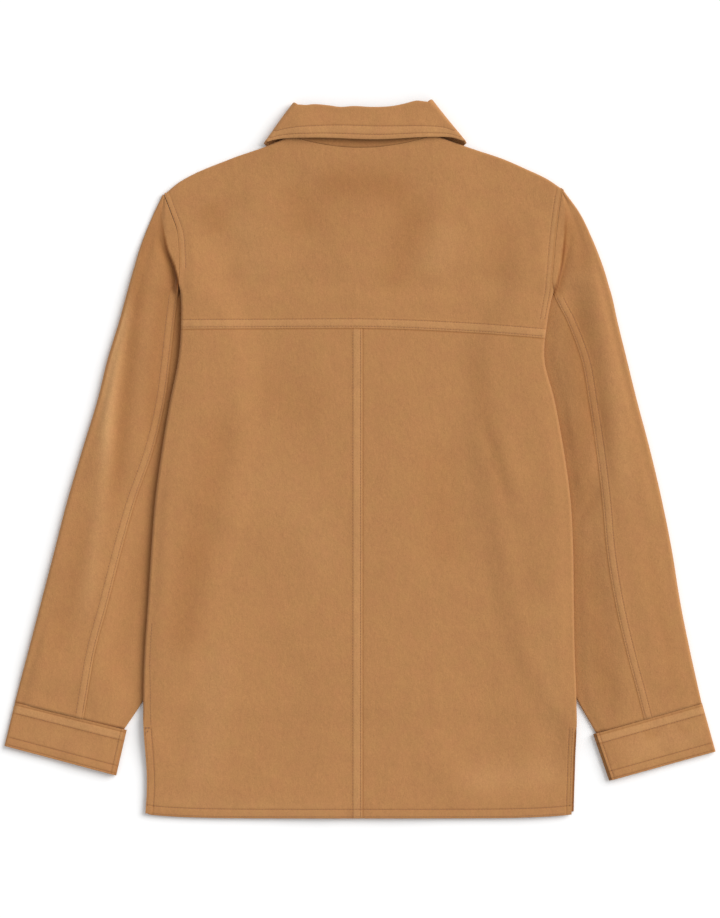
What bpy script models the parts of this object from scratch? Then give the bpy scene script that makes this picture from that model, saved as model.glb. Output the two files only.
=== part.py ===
"""Suede shirt jacket, lying on its front with its back up and its sleeves beside it.

Metres, +Z up, +Y towards the collar, +X towards the wearer's right side.
Every piece is one wall of cloth: a grid of points on its middle surface, thickened both ways.
"left" and "right" are the wearer's. A distance "out" is measured from the centre line.
"""

import math
from collections import namedtuple

import bmesh
import bpy

# Cloth and seams.
CLOTH = 0.0012
COLLAR_CLOTH = 0.0016
STAND_CLOTH = 0.0014
CUFF_CLOTH = 0.0020
SEAM_GAP = 0.0003
TURNED_SEAM_GAP = 0.0005
CAP_GAP = 0.0011
NECK_GAP = 0.0009
ROLL_GAP = 0.0008
RIM_STEPS = 4

# Heights of the middle surfaces over the floor.
FLOOR_LAYER = CLOTH / 2
SLEEVE_UNDER_BODY = 0.0026
SLEEVE_LOFT = 0.0049
SLEEVE_LOFT_START = 0.014
SLEEVE_LOFT_WIDTH = 0.040
BODY_ON_SLEEVE = 0.0036
BODY_RISE = 0.0029
BACK_LAYER = 0.0046
BACK_OVER_BAND = 0.0014
BACK_OVER_LEAF = 0.0010

# Body.
CENTRE_BACK_OUT = 0.0026
HEM_HEIGHT = -0.3805
HEM_SIDE_RISE = 0.0045
FRONT_HEM_RISE = 0.003
VENT_TOP = -0.284
VENT_FADE = 0.022
SHELF_MARGIN = 0.020
# The body lies on the sleeve between these heights, and fades off it past each end.
SHELF_TOP = 0.245
SHELF_TOP_FADE = 0.060
SHELF_LOW = -0.335
SHELF_LOW_FADE = 0.045
TUCK_LOW = -0.29
# Heights below the underarm over which the armhole seam gives way to the side fold and to the side's turn.
UNDERARM_FADE = 0.012
RIM_FADE = 0.020
SHOULDER_TURN_FADE = 0.012
HEM_HALF_WIDTH = 0.228
YOKE_HALF_WIDTH = 0.195
# The sleeve's head starts this far below the shoulder tip, at about this distance out.
CAP_TOP_DROP = 0.004
SLEEVE_HEAD_OUT = 0.2
# The front seam's place between the sleeve's inner and outer edges, and its way up to the armhole.
FRONT_SEAM_SHARE = 0.30
FRONT_SEAM_FADE = 0.030
# The sleeve's head keeps the body's level up to the fold, then steps down: where that starts and ends.
CAP_LEVEL_REACH = 0.03
CAP_LEVEL_SHARE = 0.8
CAP_LEVEL_LEAST = 0.001
CAP_LEVEL_MOST = 0.3
CAP_STEP = 0.0015
CAP_STEP_LEAST = 0.004
CAP_STEP_MOST = 0.6
SHELF_RAMP = 0.035

# Centre front: two fronts lapped over each other, with buttons under them.
LAP = 0.017
BAND_FLAT = 0.023
BAND_RAMP = 0.024
BUTTON_RADIUS = 0.0088
BUTTON_THICKNESS = 0.0018
BUTTON_SIDES = 16
BUTTON_COUNT = 6
TOP_BUTTON_HEIGHT = 0.262
BUTTON_PITCH = 0.108
OUTER_LAP_LAYER = BUTTON_THICKNESS + SEAM_GAP + CLOTH / 2
INNER_LAP_LAYER = OUTER_LAP_LAYER + CLOTH + SEAM_GAP

# Collar: the fall turns over the stand, and both go round the neck as a flattened ring.
COLLAR_TURN = 0.0050
COLLAR_ROLL = 0.0013
COLLAR_MIDDLE = COLLAR_TURN + COLLAR_CLOTH / 2
STAND_TURN = COLLAR_TURN - 2 * COLLAR_ROLL
FALL_DROP = 0.0006
NECK_BACK_HEIGHT = 0.3295
NECK_FRONT_HEIGHT = 0.283
NECK_FRONT_POWER = 2.6
NECK_RISE_REACH = 0.045
FALL_MIDDLE_HEIGHT = 0.3378
COLLAR_TOP_HEIGHT = 0.3740
COLLAR_FRONT_TOP = (0.005, 0.300)
COLLAR_FRONT_POINT = (0.058, 0.236)
LEAF_OUT = 0.112
LEAF_LOW = 0.230
LEAF_RAMP = 0.035

# Cuffs.
CUFF_TOP_LAYER = 0.0044
CUFF_LAP_RISE = 0.0010
CUFF_UNDERLAP = 0.0030
CUFF_LAP_FLAT = 0.70
CUFF_LAP_RAMP = 0.25
CUFF_BUTTON_ACROSS = 0.87
CUFF_BUTTON_RADIUS = 0.0075

# One row for each section of a sleeve and of the body beside it, from the shoulder to the cuff.
# height: along the jacket. edge: outer edge of the sleeve. seam: the armhole down to the underarm,
# then the sleeve's back seam. fold: where the body lies over the sleeve. tuck: inner edge of the sleeve.
Section = namedtuple("Section", "height edge seam fold tuck")

LEFT_SECTIONS = (
    Section(0.2770, 0.2105, 0.2070, 0.2110, 0.200),
    Section(0.2598, 0.2188, 0.2004, 0.2112, 0.195),
    Section(0.2415, 0.2266, 0.1940, 0.2080, 0.192),
    Section(0.2213, 0.2340, 0.1919, 0.2035, 0.190),
    Section(0.2022, 0.2396, 0.1912, 0.1961, 0.189),
    Section(0.1800, 0.2459, 0.1925, 0.1908, 0.186),
    Section(0.1470, 0.2549, 0.1965, 0.1896, 0.168),
    Section(0.1050, 0.2677, 0.2012, 0.1924, 0.155),
    Section(0.0620, 0.2783, 0.2068, 0.2009, 0.155),
    Section(0.0100, 0.2942, 0.2190, 0.2097, 0.160),
    Section(-0.0440, 0.3101, 0.2378, 0.2170, 0.168),
    Section(-0.0970, 0.3238, 0.2527, 0.2212, 0.178),
    Section(-0.1500, 0.3376, 0.2661, 0.2245, 0.190),
    Section(-0.2030, 0.3514, 0.2803, 0.2282, 0.204),
    Section(-0.2560, 0.3653, 0.2896, 0.2297, 0.230),
    Section(-0.2864, 0.3720, 0.2950, 0.2291, 0.250),
)
RIGHT_SECTIONS = (
    Section(0.2830, 0.2170, 0.2135, 0.2175, 0.205),
    Section(0.2605, 0.2333, 0.2067, 0.2178, 0.200),
    Section(0.2340, 0.2454, 0.2024, 0.2160, 0.198),
    Section(0.2012, 0.2581, 0.1991, 0.2115, 0.197),
    Section(0.1832, 0.2634, 0.1985, 0.2069, 0.196),
    Section(0.1740, 0.2662, 0.2050, 0.2038, 0.194),
    Section(0.1470, 0.2722, 0.2181, 0.1985, 0.176),
    Section(0.1050, 0.2825, 0.2336, 0.1950, 0.160),
    Section(0.0620, 0.2931, 0.2414, 0.2055, 0.158),
    Section(0.0100, 0.3069, 0.2494, 0.2152, 0.162),
    Section(-0.0440, 0.3196, 0.2558, 0.2227, 0.170),
    Section(-0.0970, 0.3302, 0.2605, 0.2254, 0.180),
    Section(-0.1500, 0.3387, 0.2690, 0.2261, 0.190),
    Section(-0.2030, 0.3493, 0.2811, 0.2270, 0.203),
    Section(-0.2560, 0.3612, 0.2952, 0.2290, 0.230),
    Section(-0.2900, 0.3690, 0.3040, 0.2290, 0.2497),
)

# The body's side below the sleeve, then the vent, as (height, out).
LEFT_VENT = ((-0.312, 0.2272), (-0.332, 0.2260), (-0.352, 0.2260), (-0.3723, 0.2274))
RIGHT_VENT = ((-0.312, 0.2280), (-0.332, 0.2275), (-0.352, 0.2268), (-0.3723, 0.2263))

# Shoulder line from the neck point to the armhole, as (out, height).
LEFT_SHOULDER = ((0.074, 0.3420), (0.1023, 0.3300), (0.1373, 0.3178), (0.1903, 0.2939), (0.2070, 0.2805))
RIGHT_SHOULDER = (
    (0.078, 0.3430), (0.1129, 0.3305), (0.1256, 0.3263), (0.1511, 0.3178),
    (0.1754, 0.3072), (0.1977, 0.2966), (0.2135, 0.2860),
)

# Yoke seam, as (across, height).
YOKE_SEAM = (
    (-0.190, 0.1371), (-0.050, 0.1380), (0.000, 0.1381),
    (0.060, 0.1365), (0.127, 0.1329), (0.197, 0.1273),
)

# A side of the jacket: which way it lies, its tables, and where its cap seam turns over the fold.
Side = namedtuple("Side", "name sign sections vent shoulder cap_end collar_corner fall_corner cuff")

# Corners of a cuff: (out, height) of its outer top, outer bottom, inner bottom and inner top.
Cuff = namedtuple("Cuff", "outer_top outer_bottom inner_bottom inner_top")

LEFT = Side(
    "left", -1, LEFT_SECTIONS, LEFT_VENT, LEFT_SHOULDER, 0.190, (0.0716, 0.3765), (0.1023, 0.3342),
    Cuff((0.3657, -0.2578), (0.3768, -0.3038), (0.2613, -0.3344), (0.2502, -0.2864)),
)
RIGHT = Side(
    "right", 1, RIGHT_SECTIONS, RIGHT_VENT, RIGHT_SHOULDER, 0.1832, (0.0769, 0.3798), (0.1129, 0.3347),
    Cuff((0.3623, -0.2589), (0.3764, -0.3098), (0.2666, -0.3400), (0.2497, -0.2907)),
)
SIDES = (LEFT, RIGHT)

# Where rows of points lie, as shares of a piece's length or width.
CAP_ROWS = (0.0, 0.03, 0.065, 0.10, 0.135, 0.165)
SLEEVE_ROWS = (0.19, 0.235, 0.27, 0.31, 0.36, 0.43, 0.53, 0.64, 0.76, 0.88, 1.0)
YOKE_ROWS = (0.0, 0.12, 0.24, 0.35, 0.42, 0.52, 0.65, 0.82, 1.0)
FRONT_ROWS = (0.0, 0.10, 0.20, 0.31, 0.42, 0.53, 0.64, 0.73, 0.80, 0.86, 0.91, 0.955, 1.0)
FRONT_COLUMNS = (0.0, 0.09, 0.18, 0.27, 0.315, 0.355, 0.395, 0.50, 0.63, 0.76, 0.88, 1.0)

SUEDE = (0.48, 0.23, 0.09, 1.0)
SUEDE_ROUGHNESS = 0.95
HORN = (0.20, 0.11, 0.06, 1.0)
HORN_ROUGHNESS = 0.35


def mix(a, b, share):
    return a + (b - a) * share


def ease(value):
    """0 below 0, 1 above 1, and smooth between them."""
    value = min(1.0, max(0.0, value))
    return value * value * (3 - 2 * value)


def curve_through(knots):
    """A smooth function through (at, value) knots. Its slopes come from the neighbouring knots."""
    knots = sorted(knots)
    ats = [at for at, _ in knots]
    values = [value for _, value in knots]
    steps = [(values[i + 1] - values[i]) / (ats[i + 1] - ats[i]) for i in range(len(knots) - 1)]
    slopes = [steps[0]] + [(a + b) / 2 for a, b in zip(steps, steps[1:])] + [steps[-1]]

    def value_at(at):
        if at <= ats[0]:
            return values[0] + slopes[0] * (at - ats[0])
        if at >= ats[-1]:
            return values[-1] + slopes[-1] * (at - ats[-1])
        i = max(j for j in range(len(ats) - 1) if ats[j] <= at)
        span = ats[i + 1] - ats[i]
        t = (at - ats[i]) / span
        return (
            (2 * t**3 - 3 * t**2 + 1) * values[i]
            + (t**3 - 2 * t**2 + t) * span * slopes[i]
            + (3 * t**2 - 2 * t**3) * values[i + 1]
            + (t**3 - t**2) * span * slopes[i + 1]
        )

    return value_at


def column(side, name):
    """One column of a side's sections, as a smooth function of height."""
    return curve_through([(row.height, getattr(row, name)) for row in side.sections])


EDGE = {side.name: column(side, "edge") for side in SIDES}
SEAM = {side.name: column(side, "seam") for side in SIDES}
TUCK = {side.name: column(side, "tuck") for side in SIDES}
SHOULDER = {side.name: curve_through(side.shoulder) for side in SIDES}
FOLD = {
    side.name: curve_through([(row.height, row.fold) for row in side.sections] + list(side.vent))
    for side in SIDES
}
YOKE_LINE = curve_through(YOKE_SEAM)


def side_at(x):
    return RIGHT if x >= 0 else LEFT


def body_out(side, height):
    """Distance out of the body's edge: the armhole seam above the underarm, the side fold below it."""
    over = ease((height - side.cap_end) / UNDERARM_FADE + 1)
    return mix(FOLD[side.name](height), SEAM[side.name](height) - SEAM_GAP, over)


def rim_curl(side, height):
    """1 where the body's edge turns down to the side seam, 0 at the armhole and at the vent."""
    at_armhole = ease((height - side.cap_end) / RIM_FADE + 1)
    at_vent = ease((VENT_TOP + VENT_FADE - height) / VENT_FADE)
    return (1 - at_armhole) * (1 - at_vent)


def on_sleeve(side, out, height):
    """1 where the body lies on the sleeve, falling to 0 towards the centre, the shoulder and the hem."""
    below_shoulder = ease((SHELF_TOP - height) / SHELF_TOP_FADE)
    above_vent = ease((height - SHELF_LOW) / SHELF_LOW_FADE)
    start = TUCK[side.name](max(height, TUCK_LOW)) - SHELF_MARGIN - SHELF_RAMP
    return below_shoulder * above_vent * ease((out - start) / SHELF_RAMP)


def neck_point(side):
    return side.shoulder[0]


def neck_line(x, lowest, power):
    """Height of the neck seam at x: lowest at the centre, up to the shoulder's neck point."""
    out, top = neck_point(side_at(x))
    return lowest + (top - lowest) * min(1.0, abs(x) / out) ** power


def top_line(x, lowest, power):
    """Top edge of a body panel: the neck seam, then the shoulder line."""
    side = side_at(x)
    if abs(x) <= neck_point(side)[0]:
        return neck_line(x, lowest, power) - NECK_GAP
    return SHOULDER[side.name](abs(x))


def hem_line(x):
    """Height of the bottom edge, a little higher at the side seams."""
    return HEM_HEIGHT + HEM_SIDE_RISE * (abs(x) / HEM_HALF_WIDTH) ** 6


def near_neck(x, height):
    """1 at the neck seam of the back, falling to 0 below it and along the shoulder."""
    side = side_at(x)
    below = neck_line(x, NECK_BACK_HEIGHT, 2) - height
    beyond = abs(x) - neck_point(side)[0]
    away = math.hypot(max(0.0, below), max(0.0, beyond))
    return 1 - ease(away / NECK_RISE_REACH)


def over_leaf(x, height):
    """1 where a front lies over the collar's front leaf, 0 clear of it."""
    along = ease((height - LEAF_LOW + LEAF_RAMP) / LEAF_RAMP)
    across = 1 - ease((abs(x) - LEAF_OUT) / LEAF_RAMP)
    return along * across


def in_band(x, inner):
    """1 over the centre-front lap, 0 where the front lies on the floor. inner says which way it ends."""
    return 1 - ease((x * inner - BAND_FLAT) / BAND_RAMP)


def front_layer(x, height, sign):
    """Middle height of a front panel. The right front (sign 1) is the outer one at the lap."""
    side = LEFT if sign < 0 else RIGHT
    lap = OUTER_LAP_LAYER if sign > 0 else INNER_LAP_LAYER
    band = (lap - FLOOR_LAYER) * in_band(x, sign)
    leaf = (COLLAR_MIDDLE - STAND_TURN - FLOOR_LAYER) * over_leaf(x, height)
    if sign < 0:
        leaf += (INNER_LAP_LAYER - OUTER_LAP_LAYER) * in_band(x, sign) * over_leaf(x, height)
    shelf = BODY_ON_SLEEVE * on_sleeve(side, abs(x), height) if x * sign > 0 else 0.0
    return FLOOR_LAYER + max(band, leaf, shelf)


def back_layer(x, height):
    """Middle height of the back: over the lap at the centre, over the sleeves at the sides."""
    side = side_at(x)
    level = BACK_LAYER + BACK_OVER_BAND * (1 - ease((abs(x) - BAND_FLAT) / BAND_RAMP))
    level += BODY_RISE * on_sleeve(side, abs(x), height)
    level += BACK_OVER_LEAF * over_leaf(x, height + LEAF_RAMP / 2)
    return mix(level, COLLAR_MIDDLE + STAND_TURN, near_neck(x, height))


def sleeve_layer(side, out, height):
    """Middle height of a sleeve's top layer: low under the body, lofted towards its outer edge."""
    beyond = (out - FOLD[side.name](height) - SLEEVE_LOFT_START) / SLEEVE_LOFT_WIDTH
    return mix(SLEEVE_UNDER_BODY, SLEEVE_LOFT, ease(beyond))


def material(name, colour, roughness):
    made = bpy.data.materials.new(name)
    made.use_nodes = True
    shader = made.node_tree.nodes["Principled BSDF"]
    shader.inputs["Base Color"].default_value = colour
    shader.inputs["Roughness"].default_value = roughness
    shader.inputs["Metallic"].default_value = 0.0
    return made


def cloth_wall(name, grid, thickness, outside_up=True):
    """A wall of cloth from rows of points on its middle surface."""
    mesh = bpy.data.meshes.new(name)
    bm = bmesh.new()
    rows = [[bm.verts.new(point) for point in row] for row in grid]
    for lower, upper in zip(rows, rows[1:]):
        for a, b, c, d in zip(lower, lower[1:], upper[1:], upper):
            bm.faces.new((a, b, c, d) if outside_up else (d, c, b, a))
    bm.to_mesh(mesh)
    bm.free()
    mesh.shade_smooth()
    made = bpy.data.objects.new(name, mesh)
    bpy.context.scene.collection.objects.link(made)
    made.data.materials.append(material(name, SUEDE, SUEDE_ROUGHNESS))
    wall = made.modifiers.new("wall", "SOLIDIFY")
    wall.thickness = thickness
    wall.offset = 0.0
    return made


def rim(radius, curl, turn):
    """Points of an edge that turns through a quarter circle, as (out, up) from where it starts.

    curl 0 leaves it flat over the same reach. turn is -1 for down and 1 for up.
    """
    points = []
    last = math.pi / 2 - TURNED_SEAM_GAP / radius
    for i in range(1, RIM_STEPS + 1):
        angle = last * i / RIM_STEPS
        out = mix(radius * i / RIM_STEPS, radius * math.sin(angle), curl)
        points.append((out, turn * curl * radius * (1 - math.cos(angle))))
    return points


def rim_radius(side, height):
    """Radius of the side's turn at a height: half of the space between the back's and front's layers."""
    x = side.sign * (body_out(side, height) - CLOTH)
    return (back_layer(x, height) - front_layer(x, height, side.sign)) / 2


def body_row(side, side_height, height_of, layer, turn, inner, outs):
    """One row of a body panel, from the out distance inner to its side rim."""
    radius = rim_radius(side, side_height)
    curl = rim_curl(side, side_height)
    start = body_out(side, side_height) - radius - curl * CLOTH / 2
    row = []
    for share in outs:
        x = side.sign * mix(inner, start, share)
        y = height_of(x)
        row.append((x, y, layer(x, y)))
    x, y, z = row[-1]
    for out, up in rim(radius, curl, turn):
        row.append((x + side.sign * out, y, z + up))
    return row


def shares(count):
    return [i / count for i in range(count + 1)]


def shoulder_rows(rows, layer_other, turn):
    """Adds the rows that turn over the shoulder line, flat across the neck, to the last row."""
    last = rows[-1]
    added = []
    for step in range(RIM_STEPS):
        row = []
        for x, y, z in last:
            side = side_at(x)
            radius = abs(z - layer_other(x, y)) / 2
            curl = ease((abs(x) - neck_point(side)[0]) / SHOULDER_TURN_FADE)
            out, up = rim(radius, curl, turn)[step]
            row.append((x, y + out, z + up))
        added.append(row)
    return rows + added


def yoke():
    """The back yoke, from the yoke seam to the neck seam and over the shoulders."""
    across = shares(7)
    rows = []
    for share in YOKE_ROWS:
        halves = []
        for side in SIDES:
            shoulder_end = side.shoulder[-1][1]
            side_height = mix(YOKE_LINE(side.sign * YOKE_HALF_WIDTH), shoulder_end, share)

            def height_of(x, share=share):
                top = top_line(x, NECK_BACK_HEIGHT, 2)
                room = CLOTH / 2 + (back_layer(x, top) - front_layer(x, top, 1 if x >= 0 else -1)) / 2
                return mix(YOKE_LINE(x) + SEAM_GAP / 2, top - room, share)

            halves.append(body_row(side, side_height, height_of, back_layer, -1, 0.0, across))
        rows.append(halves[0][::-1] + halves[1][1:])
    rows = shoulder_rows(rows, lambda x, y: front_layer(x, y, 1 if x >= 0 else -1), -1)
    return cloth_wall("yoke", rows, CLOTH)


def back_panel(side):
    """One half of the back, from the hem to the yoke seam."""
    rows = []
    for share in shares(14):
        def height_of(x, share=share):
            return mix(hem_line(x), YOKE_LINE(x) - SEAM_GAP / 2, share)

        side_height = height_of(side.sign * 0.2)
        inner = side.sign * CENTRE_BACK_OUT + SEAM_GAP / 2
        rows.append(body_row(side, side_height, height_of, back_layer, -1, inner, shares(7)))
    return cloth_wall("back_" + side.name, rows, CLOTH, side.sign > 0)


def front_panel(side):
    """One front, from the hem to the neck seam and the shoulder. It lies face down."""
    rows = []
    shoulder_end = side.shoulder[-1][1]

    def layer(x, y):
        return front_layer(x, y, side.sign)

    for share in FRONT_ROWS:
        def height_of(x, share=share):
            top = top_line(x, NECK_FRONT_HEIGHT, NECK_FRONT_POWER)
            room = CLOTH / 2 + (back_layer(x, top) - layer(x, top)) / 2
            return mix(hem_line(x) + FRONT_HEM_RISE, top - room, share)

        low = hem_line(side.sign * 0.2) + FRONT_HEM_RISE
        side_height = mix(low, shoulder_end, share)
        rows.append(body_row(side, side_height, height_of, layer, 1, -LAP, FRONT_COLUMNS))
    rows = shoulder_rows(rows, back_layer, 1)
    return cloth_wall("front_" + side.name, rows, CLOTH, side.sign > 0)


def sleeve_line(side, share, out):
    """Height of a sleeve row at an out distance. Rows tilt more and more towards the cuff's line."""
    top = side.sections[0].height - CAP_TOP_DROP
    cuff_out, cuff_height = side.cuff.outer_top
    inner_out, inner_height = side.cuff.inner_top
    tilt = (cuff_height - inner_height) / (cuff_out - inner_out) * share
    at_edge = mix(top, cuff_height + SEAM_GAP, share)
    return at_edge - tilt * (EDGE[side.name](at_edge) - out)


def out_on_row(side, share, line):
    """Where a sleeve row meets a line that is given as out by height."""
    out = line(sleeve_line(side, share, SLEEVE_HEAD_OUT))
    for _ in range(6):
        out = line(sleeve_line(side, share, out))
    return out


def front_seam(side):
    """The sleeve's front seam, on its lower layer: the armhole, then near the inner edge."""
    def line(height):
        lower = mix(TUCK[side.name](height), EDGE[side.name](height), FRONT_SEAM_SHARE)
        over = ease((height - side.cap_end) / FRONT_SEAM_FADE + 1)
        return mix(lower, SEAM[side.name](max(height, side.cap_end)), over)

    return line


def sleeve_upper(side):
    """The outer part of a sleeve: armhole or back seam, round the outer edge, front seam."""
    rows = []
    for share in CAP_ROWS + SLEEVE_ROWS:
        seam = out_on_row(side, share, SEAM[side.name])
        fold = out_on_row(side, share, FOLD[side.name])
        edge = out_on_row(side, share, EDGE[side.name])
        low_seam = out_on_row(side, share, front_seam(side))
        at_seam = sleeve_line(side, share, seam)
        in_cap = at_seam > side.cap_end
        seam += CAP_GAP if in_cap else SEAM_GAP
        low_seam += CAP_GAP if in_cap else SEAM_GAP
        top_end = sleeve_layer(side, edge, sleeve_line(side, share, edge))
        if in_cap:
            level = back_layer(side.sign * seam, at_seam)
            top_end = mix(level, top_end, ease((edge - seam) / CAP_LEVEL_REACH))
        radius = (top_end - FLOOR_LAYER) / 2
        turn_out = edge - radius - CLOTH / 2
        before_fold = max(mix(seam, fold, CAP_LEVEL_SHARE), seam + CAP_LEVEL_LEAST)
        first = min(before_fold, mix(seam, turn_out, CAP_LEVEL_MOST))
        after_fold = max(fold + CAP_STEP, seam + CAP_STEP_LEAST)
        second = min(after_fold, mix(seam, turn_out, CAP_STEP_MOST))
        outs = [seam, first] + [mix(second, turn_out, k / 4) for k in range(5)]
        row = []
        for i, out in enumerate(outs):
            y = sleeve_line(side, share, out)
            z = mix(sleeve_layer(side, out, y), top_end, i / 6 if in_cap else ease((i - 4) / 2))
            if in_cap and i < 2:
                z = back_layer(side.sign * seam, at_seam)
            row.append((side.sign * out, y, z))
        for angle in (30, 60, 90, 120, 150):
            out = turn_out + radius * math.sin(math.radians(angle))
            z = FLOOR_LAYER + radius * (1 + math.cos(math.radians(angle)))
            row.append((side.sign * out, sleeve_line(side, share, out), z))
        for k in range(4):
            out = mix(turn_out, low_seam, k / 3)
            row.append((side.sign * out, sleeve_line(side, share, out), FLOOR_LAYER))
        rows.append(row[::-1])
    return cloth_wall("sleeve_upper_" + side.name, rows, CLOTH, side.sign < 0)


def sleeve_under(side):
    """The inner part of a sleeve: from the back seam, round the inner edge, to the front seam."""
    rows = []
    for share in SLEEVE_ROWS:
        seam = out_on_row(side, share, SEAM[side.name])
        tuck = out_on_row(side, share, TUCK[side.name])
        low_seam = out_on_row(side, share, front_seam(side))
        turn_layer = sleeve_layer(side, tuck, sleeve_line(side, share, tuck))
        radius = (turn_layer - FLOOR_LAYER) / 2
        turn_out = tuck + radius + CLOTH / 2
        row = []
        for k in range(5):
            out = mix(seam, turn_out, k / 4)
            y = sleeve_line(side, share, out)
            row.append((side.sign * out, y, sleeve_layer(side, out, y)))
        for angle in (45, 90, 135):
            out = turn_out - radius * math.sin(math.radians(angle))
            z = FLOOR_LAYER + radius * (1 + math.cos(math.radians(angle)))
            row.append((side.sign * out, sleeve_line(side, share, out), z))
        for k in range(3):
            out = mix(turn_out, low_seam, k / 2)
            row.append((side.sign * out, sleeve_line(side, share, out), FLOOR_LAYER))
        rows.append(row)
    return cloth_wall("sleeve_under_" + side.name, rows, CLOTH, side.sign < 0)


def cuff_lap(across):
    """1 near a cuff's inner end, where its button lies under it, and 0 over its outer half."""
    return ease((across - CUFF_LAP_FLAT + CUFF_LAP_RAMP) / CUFF_LAP_RAMP)


def on_cuff(side, across, down):
    """Point of a cuff's outline: across 0 at its outer edge and 1 at its inner end, down 0 at its top."""
    top = [mix(a, b, across) for a, b in zip(side.cuff.outer_top, side.cuff.inner_top)]
    low = [mix(a, b, across) for a, b in zip(side.cuff.outer_bottom, side.cuff.inner_bottom)]
    out, height = (mix(a, b, down) for a, b in zip(top, low))
    return side.sign * out, height


def cuff(side):
    """A cuff: its upper layer, the turn at its outer edge and its lower layer, open at the inner edge."""
    length = math.dist(side.cuff.outer_top, side.cuff.inner_top)
    low_layer = CUFF_CLOTH / 2
    radius = (CUFF_TOP_LAYER - low_layer) / 2
    turn = (radius + CUFF_CLOTH / 2) / length
    rows = []
    for down in shares(2):
        row = []
        for k in range(7):
            across = mix(1.0, turn, k / 6)
            row.append((*on_cuff(side, across, down), CUFF_TOP_LAYER + CUFF_LAP_RISE * cuff_lap(across)))
        for angle in (30, 60, 90, 120, 150):
            across = turn - radius / length * math.sin(math.radians(angle))
            z = low_layer + radius * (1 + math.cos(math.radians(angle)))
            row.append((*on_cuff(side, across, down), z))
        for k in range(7):
            across = mix(turn, 1.0 + CUFF_UNDERLAP / length, k / 6)
            z = low_layer + (BUTTON_THICKNESS + SEAM_GAP) * cuff_lap(across)
            row.append((*on_cuff(side, across, down), z))
        rows.append(row)
    return cloth_wall("cuff_" + side.name, rows, CUFF_CLOTH, side.sign > 0)


def collar_sections(side, back_steps, turn_steps, front_steps):
    """Sections round half of the collar, from the centre back to the front end.

    Each has the in-plane points of the roll, the outer edge and the neck seam, and the turn's angle.
    """
    corner, fall_corner = side.collar_corner, side.fall_corner
    run = (fall_corner[0] - corner[0], fall_corner[1] - corner[1])
    length = math.hypot(*run)
    facing = (-run[1] / length, run[0] / length)
    inset = COLLAR_TURN + COLLAR_CLOTH / 2
    roll_inset = COLLAR_ROLL + COLLAR_CLOTH / 2
    top = (corner[0] - facing[0] * inset, corner[1] - facing[1] * inset)
    edge = (fall_corner[0] - facing[0] * inset, fall_corner[1] - facing[1] * inset)
    neck = neck_point(side)
    neck = (neck[0] - STAND_TURN - STAND_CLOTH / 2, neck[1])
    middle_top = (0.0, COLLAR_TOP_HEIGHT - roll_inset)
    sections = []
    for k in range(back_steps):
        share = k / back_steps
        across = mix(0.0, neck[0], share)
        sections.append((
            (mix(middle_top[0], top[0], share), mix(middle_top[1], top[1], share)),
            (mix(0.0, edge[0], share), mix(FALL_MIDDLE_HEIGHT, edge[1], share**3)),
            (across, neck_line(side.sign * across, NECK_BACK_HEIGHT, 2)), 0.0, facing,
        ))
    for k in range(turn_steps + 1):
        sections.append((top, edge, neck, math.pi * k / turn_steps, facing))
    for k in range(1, front_steps + 1):
        share = k / front_steps
        across = mix(neck[0], 0.002, share)
        sections.append((
            (mix(top[0], COLLAR_FRONT_TOP[0], share), mix(top[1], COLLAR_FRONT_TOP[1], share)),
            (mix(edge[0], COLLAR_FRONT_POINT[0], share), mix(edge[1], COLLAR_FRONT_POINT[1], share)),
            (across, neck_line(side.sign * across, NECK_FRONT_HEIGHT, NECK_FRONT_POWER)), math.pi, facing,
        ))
    return sections


def collar_point(side, base, facing, angle, reach):
    """A point at reach from the collar's middle plane, turned by angle from up, through out, to down."""
    out = base[0] + facing[0] * reach * math.sin(angle)
    y = base[1] + facing[1] * reach * math.sin(angle)
    return side.sign * out, y, COLLAR_MIDDLE + reach * math.cos(angle)


def fall_row(side, section):
    """The fall's points in one section, from its outer edge, up and over the roll."""
    top, edge, _, angle, facing = section
    row = []
    for k in range(4):
        share = k / 3
        base = (mix(edge[0], top[0], share), mix(edge[1], top[1], share))
        drop = FALL_DROP * (1 - share) * math.cos(angle / 2)
        row.append(collar_point(side, base, facing, angle, COLLAR_TURN - drop))
    run = (top[0] - edge[0], top[1] - edge[1])
    length = math.hypot(*run)
    last = math.pi - SEAM_GAP / COLLAR_ROLL
    for k in range(1, 5):
        roll = last * k / 4
        reach = COLLAR_ROLL * math.sin(roll) / length
        base = (top[0] + run[0] * reach, top[1] + run[1] * reach)
        drop = COLLAR_ROLL * (1 - math.cos(roll))
        row.append(collar_point(side, base, facing, angle, COLLAR_TURN - drop))
    return row


def stand_row(side, section):
    """The stand's points in one section, from the roll down to the neck seam."""
    top, edge, neck, angle, facing = section
    run = (edge[0] - top[0], edge[1] - top[1])
    gap = ROLL_GAP / math.hypot(*run)
    start = (top[0] + run[0] * gap, top[1] + run[1] * gap)
    row = []
    for k in range(3):
        share = k / 2
        base = (mix(start[0], neck[0], share), mix(start[1], neck[1], share))
        turned = (mix(facing[0], 1.0, share), mix(facing[1], 0.0, share))
        row.append(collar_point(side, base, turned, angle, STAND_TURN))
    return row


def collar():
    """The fall and the stand, each as one strip from one front end round the back to the other."""
    for name, make_row, thickness, front_steps, outside_up in (
        ("collar_fall", fall_row, COLLAR_CLOTH, 3, False),
        ("collar_stand", stand_row, STAND_CLOTH, 8, True),
    ):
        left, right = (
            [make_row(side, section) for section in collar_sections(side, 4, 5, front_steps)]
            for side in SIDES
        )
        cloth_wall(name, left[:0:-1] + right, thickness, outside_up)


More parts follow.
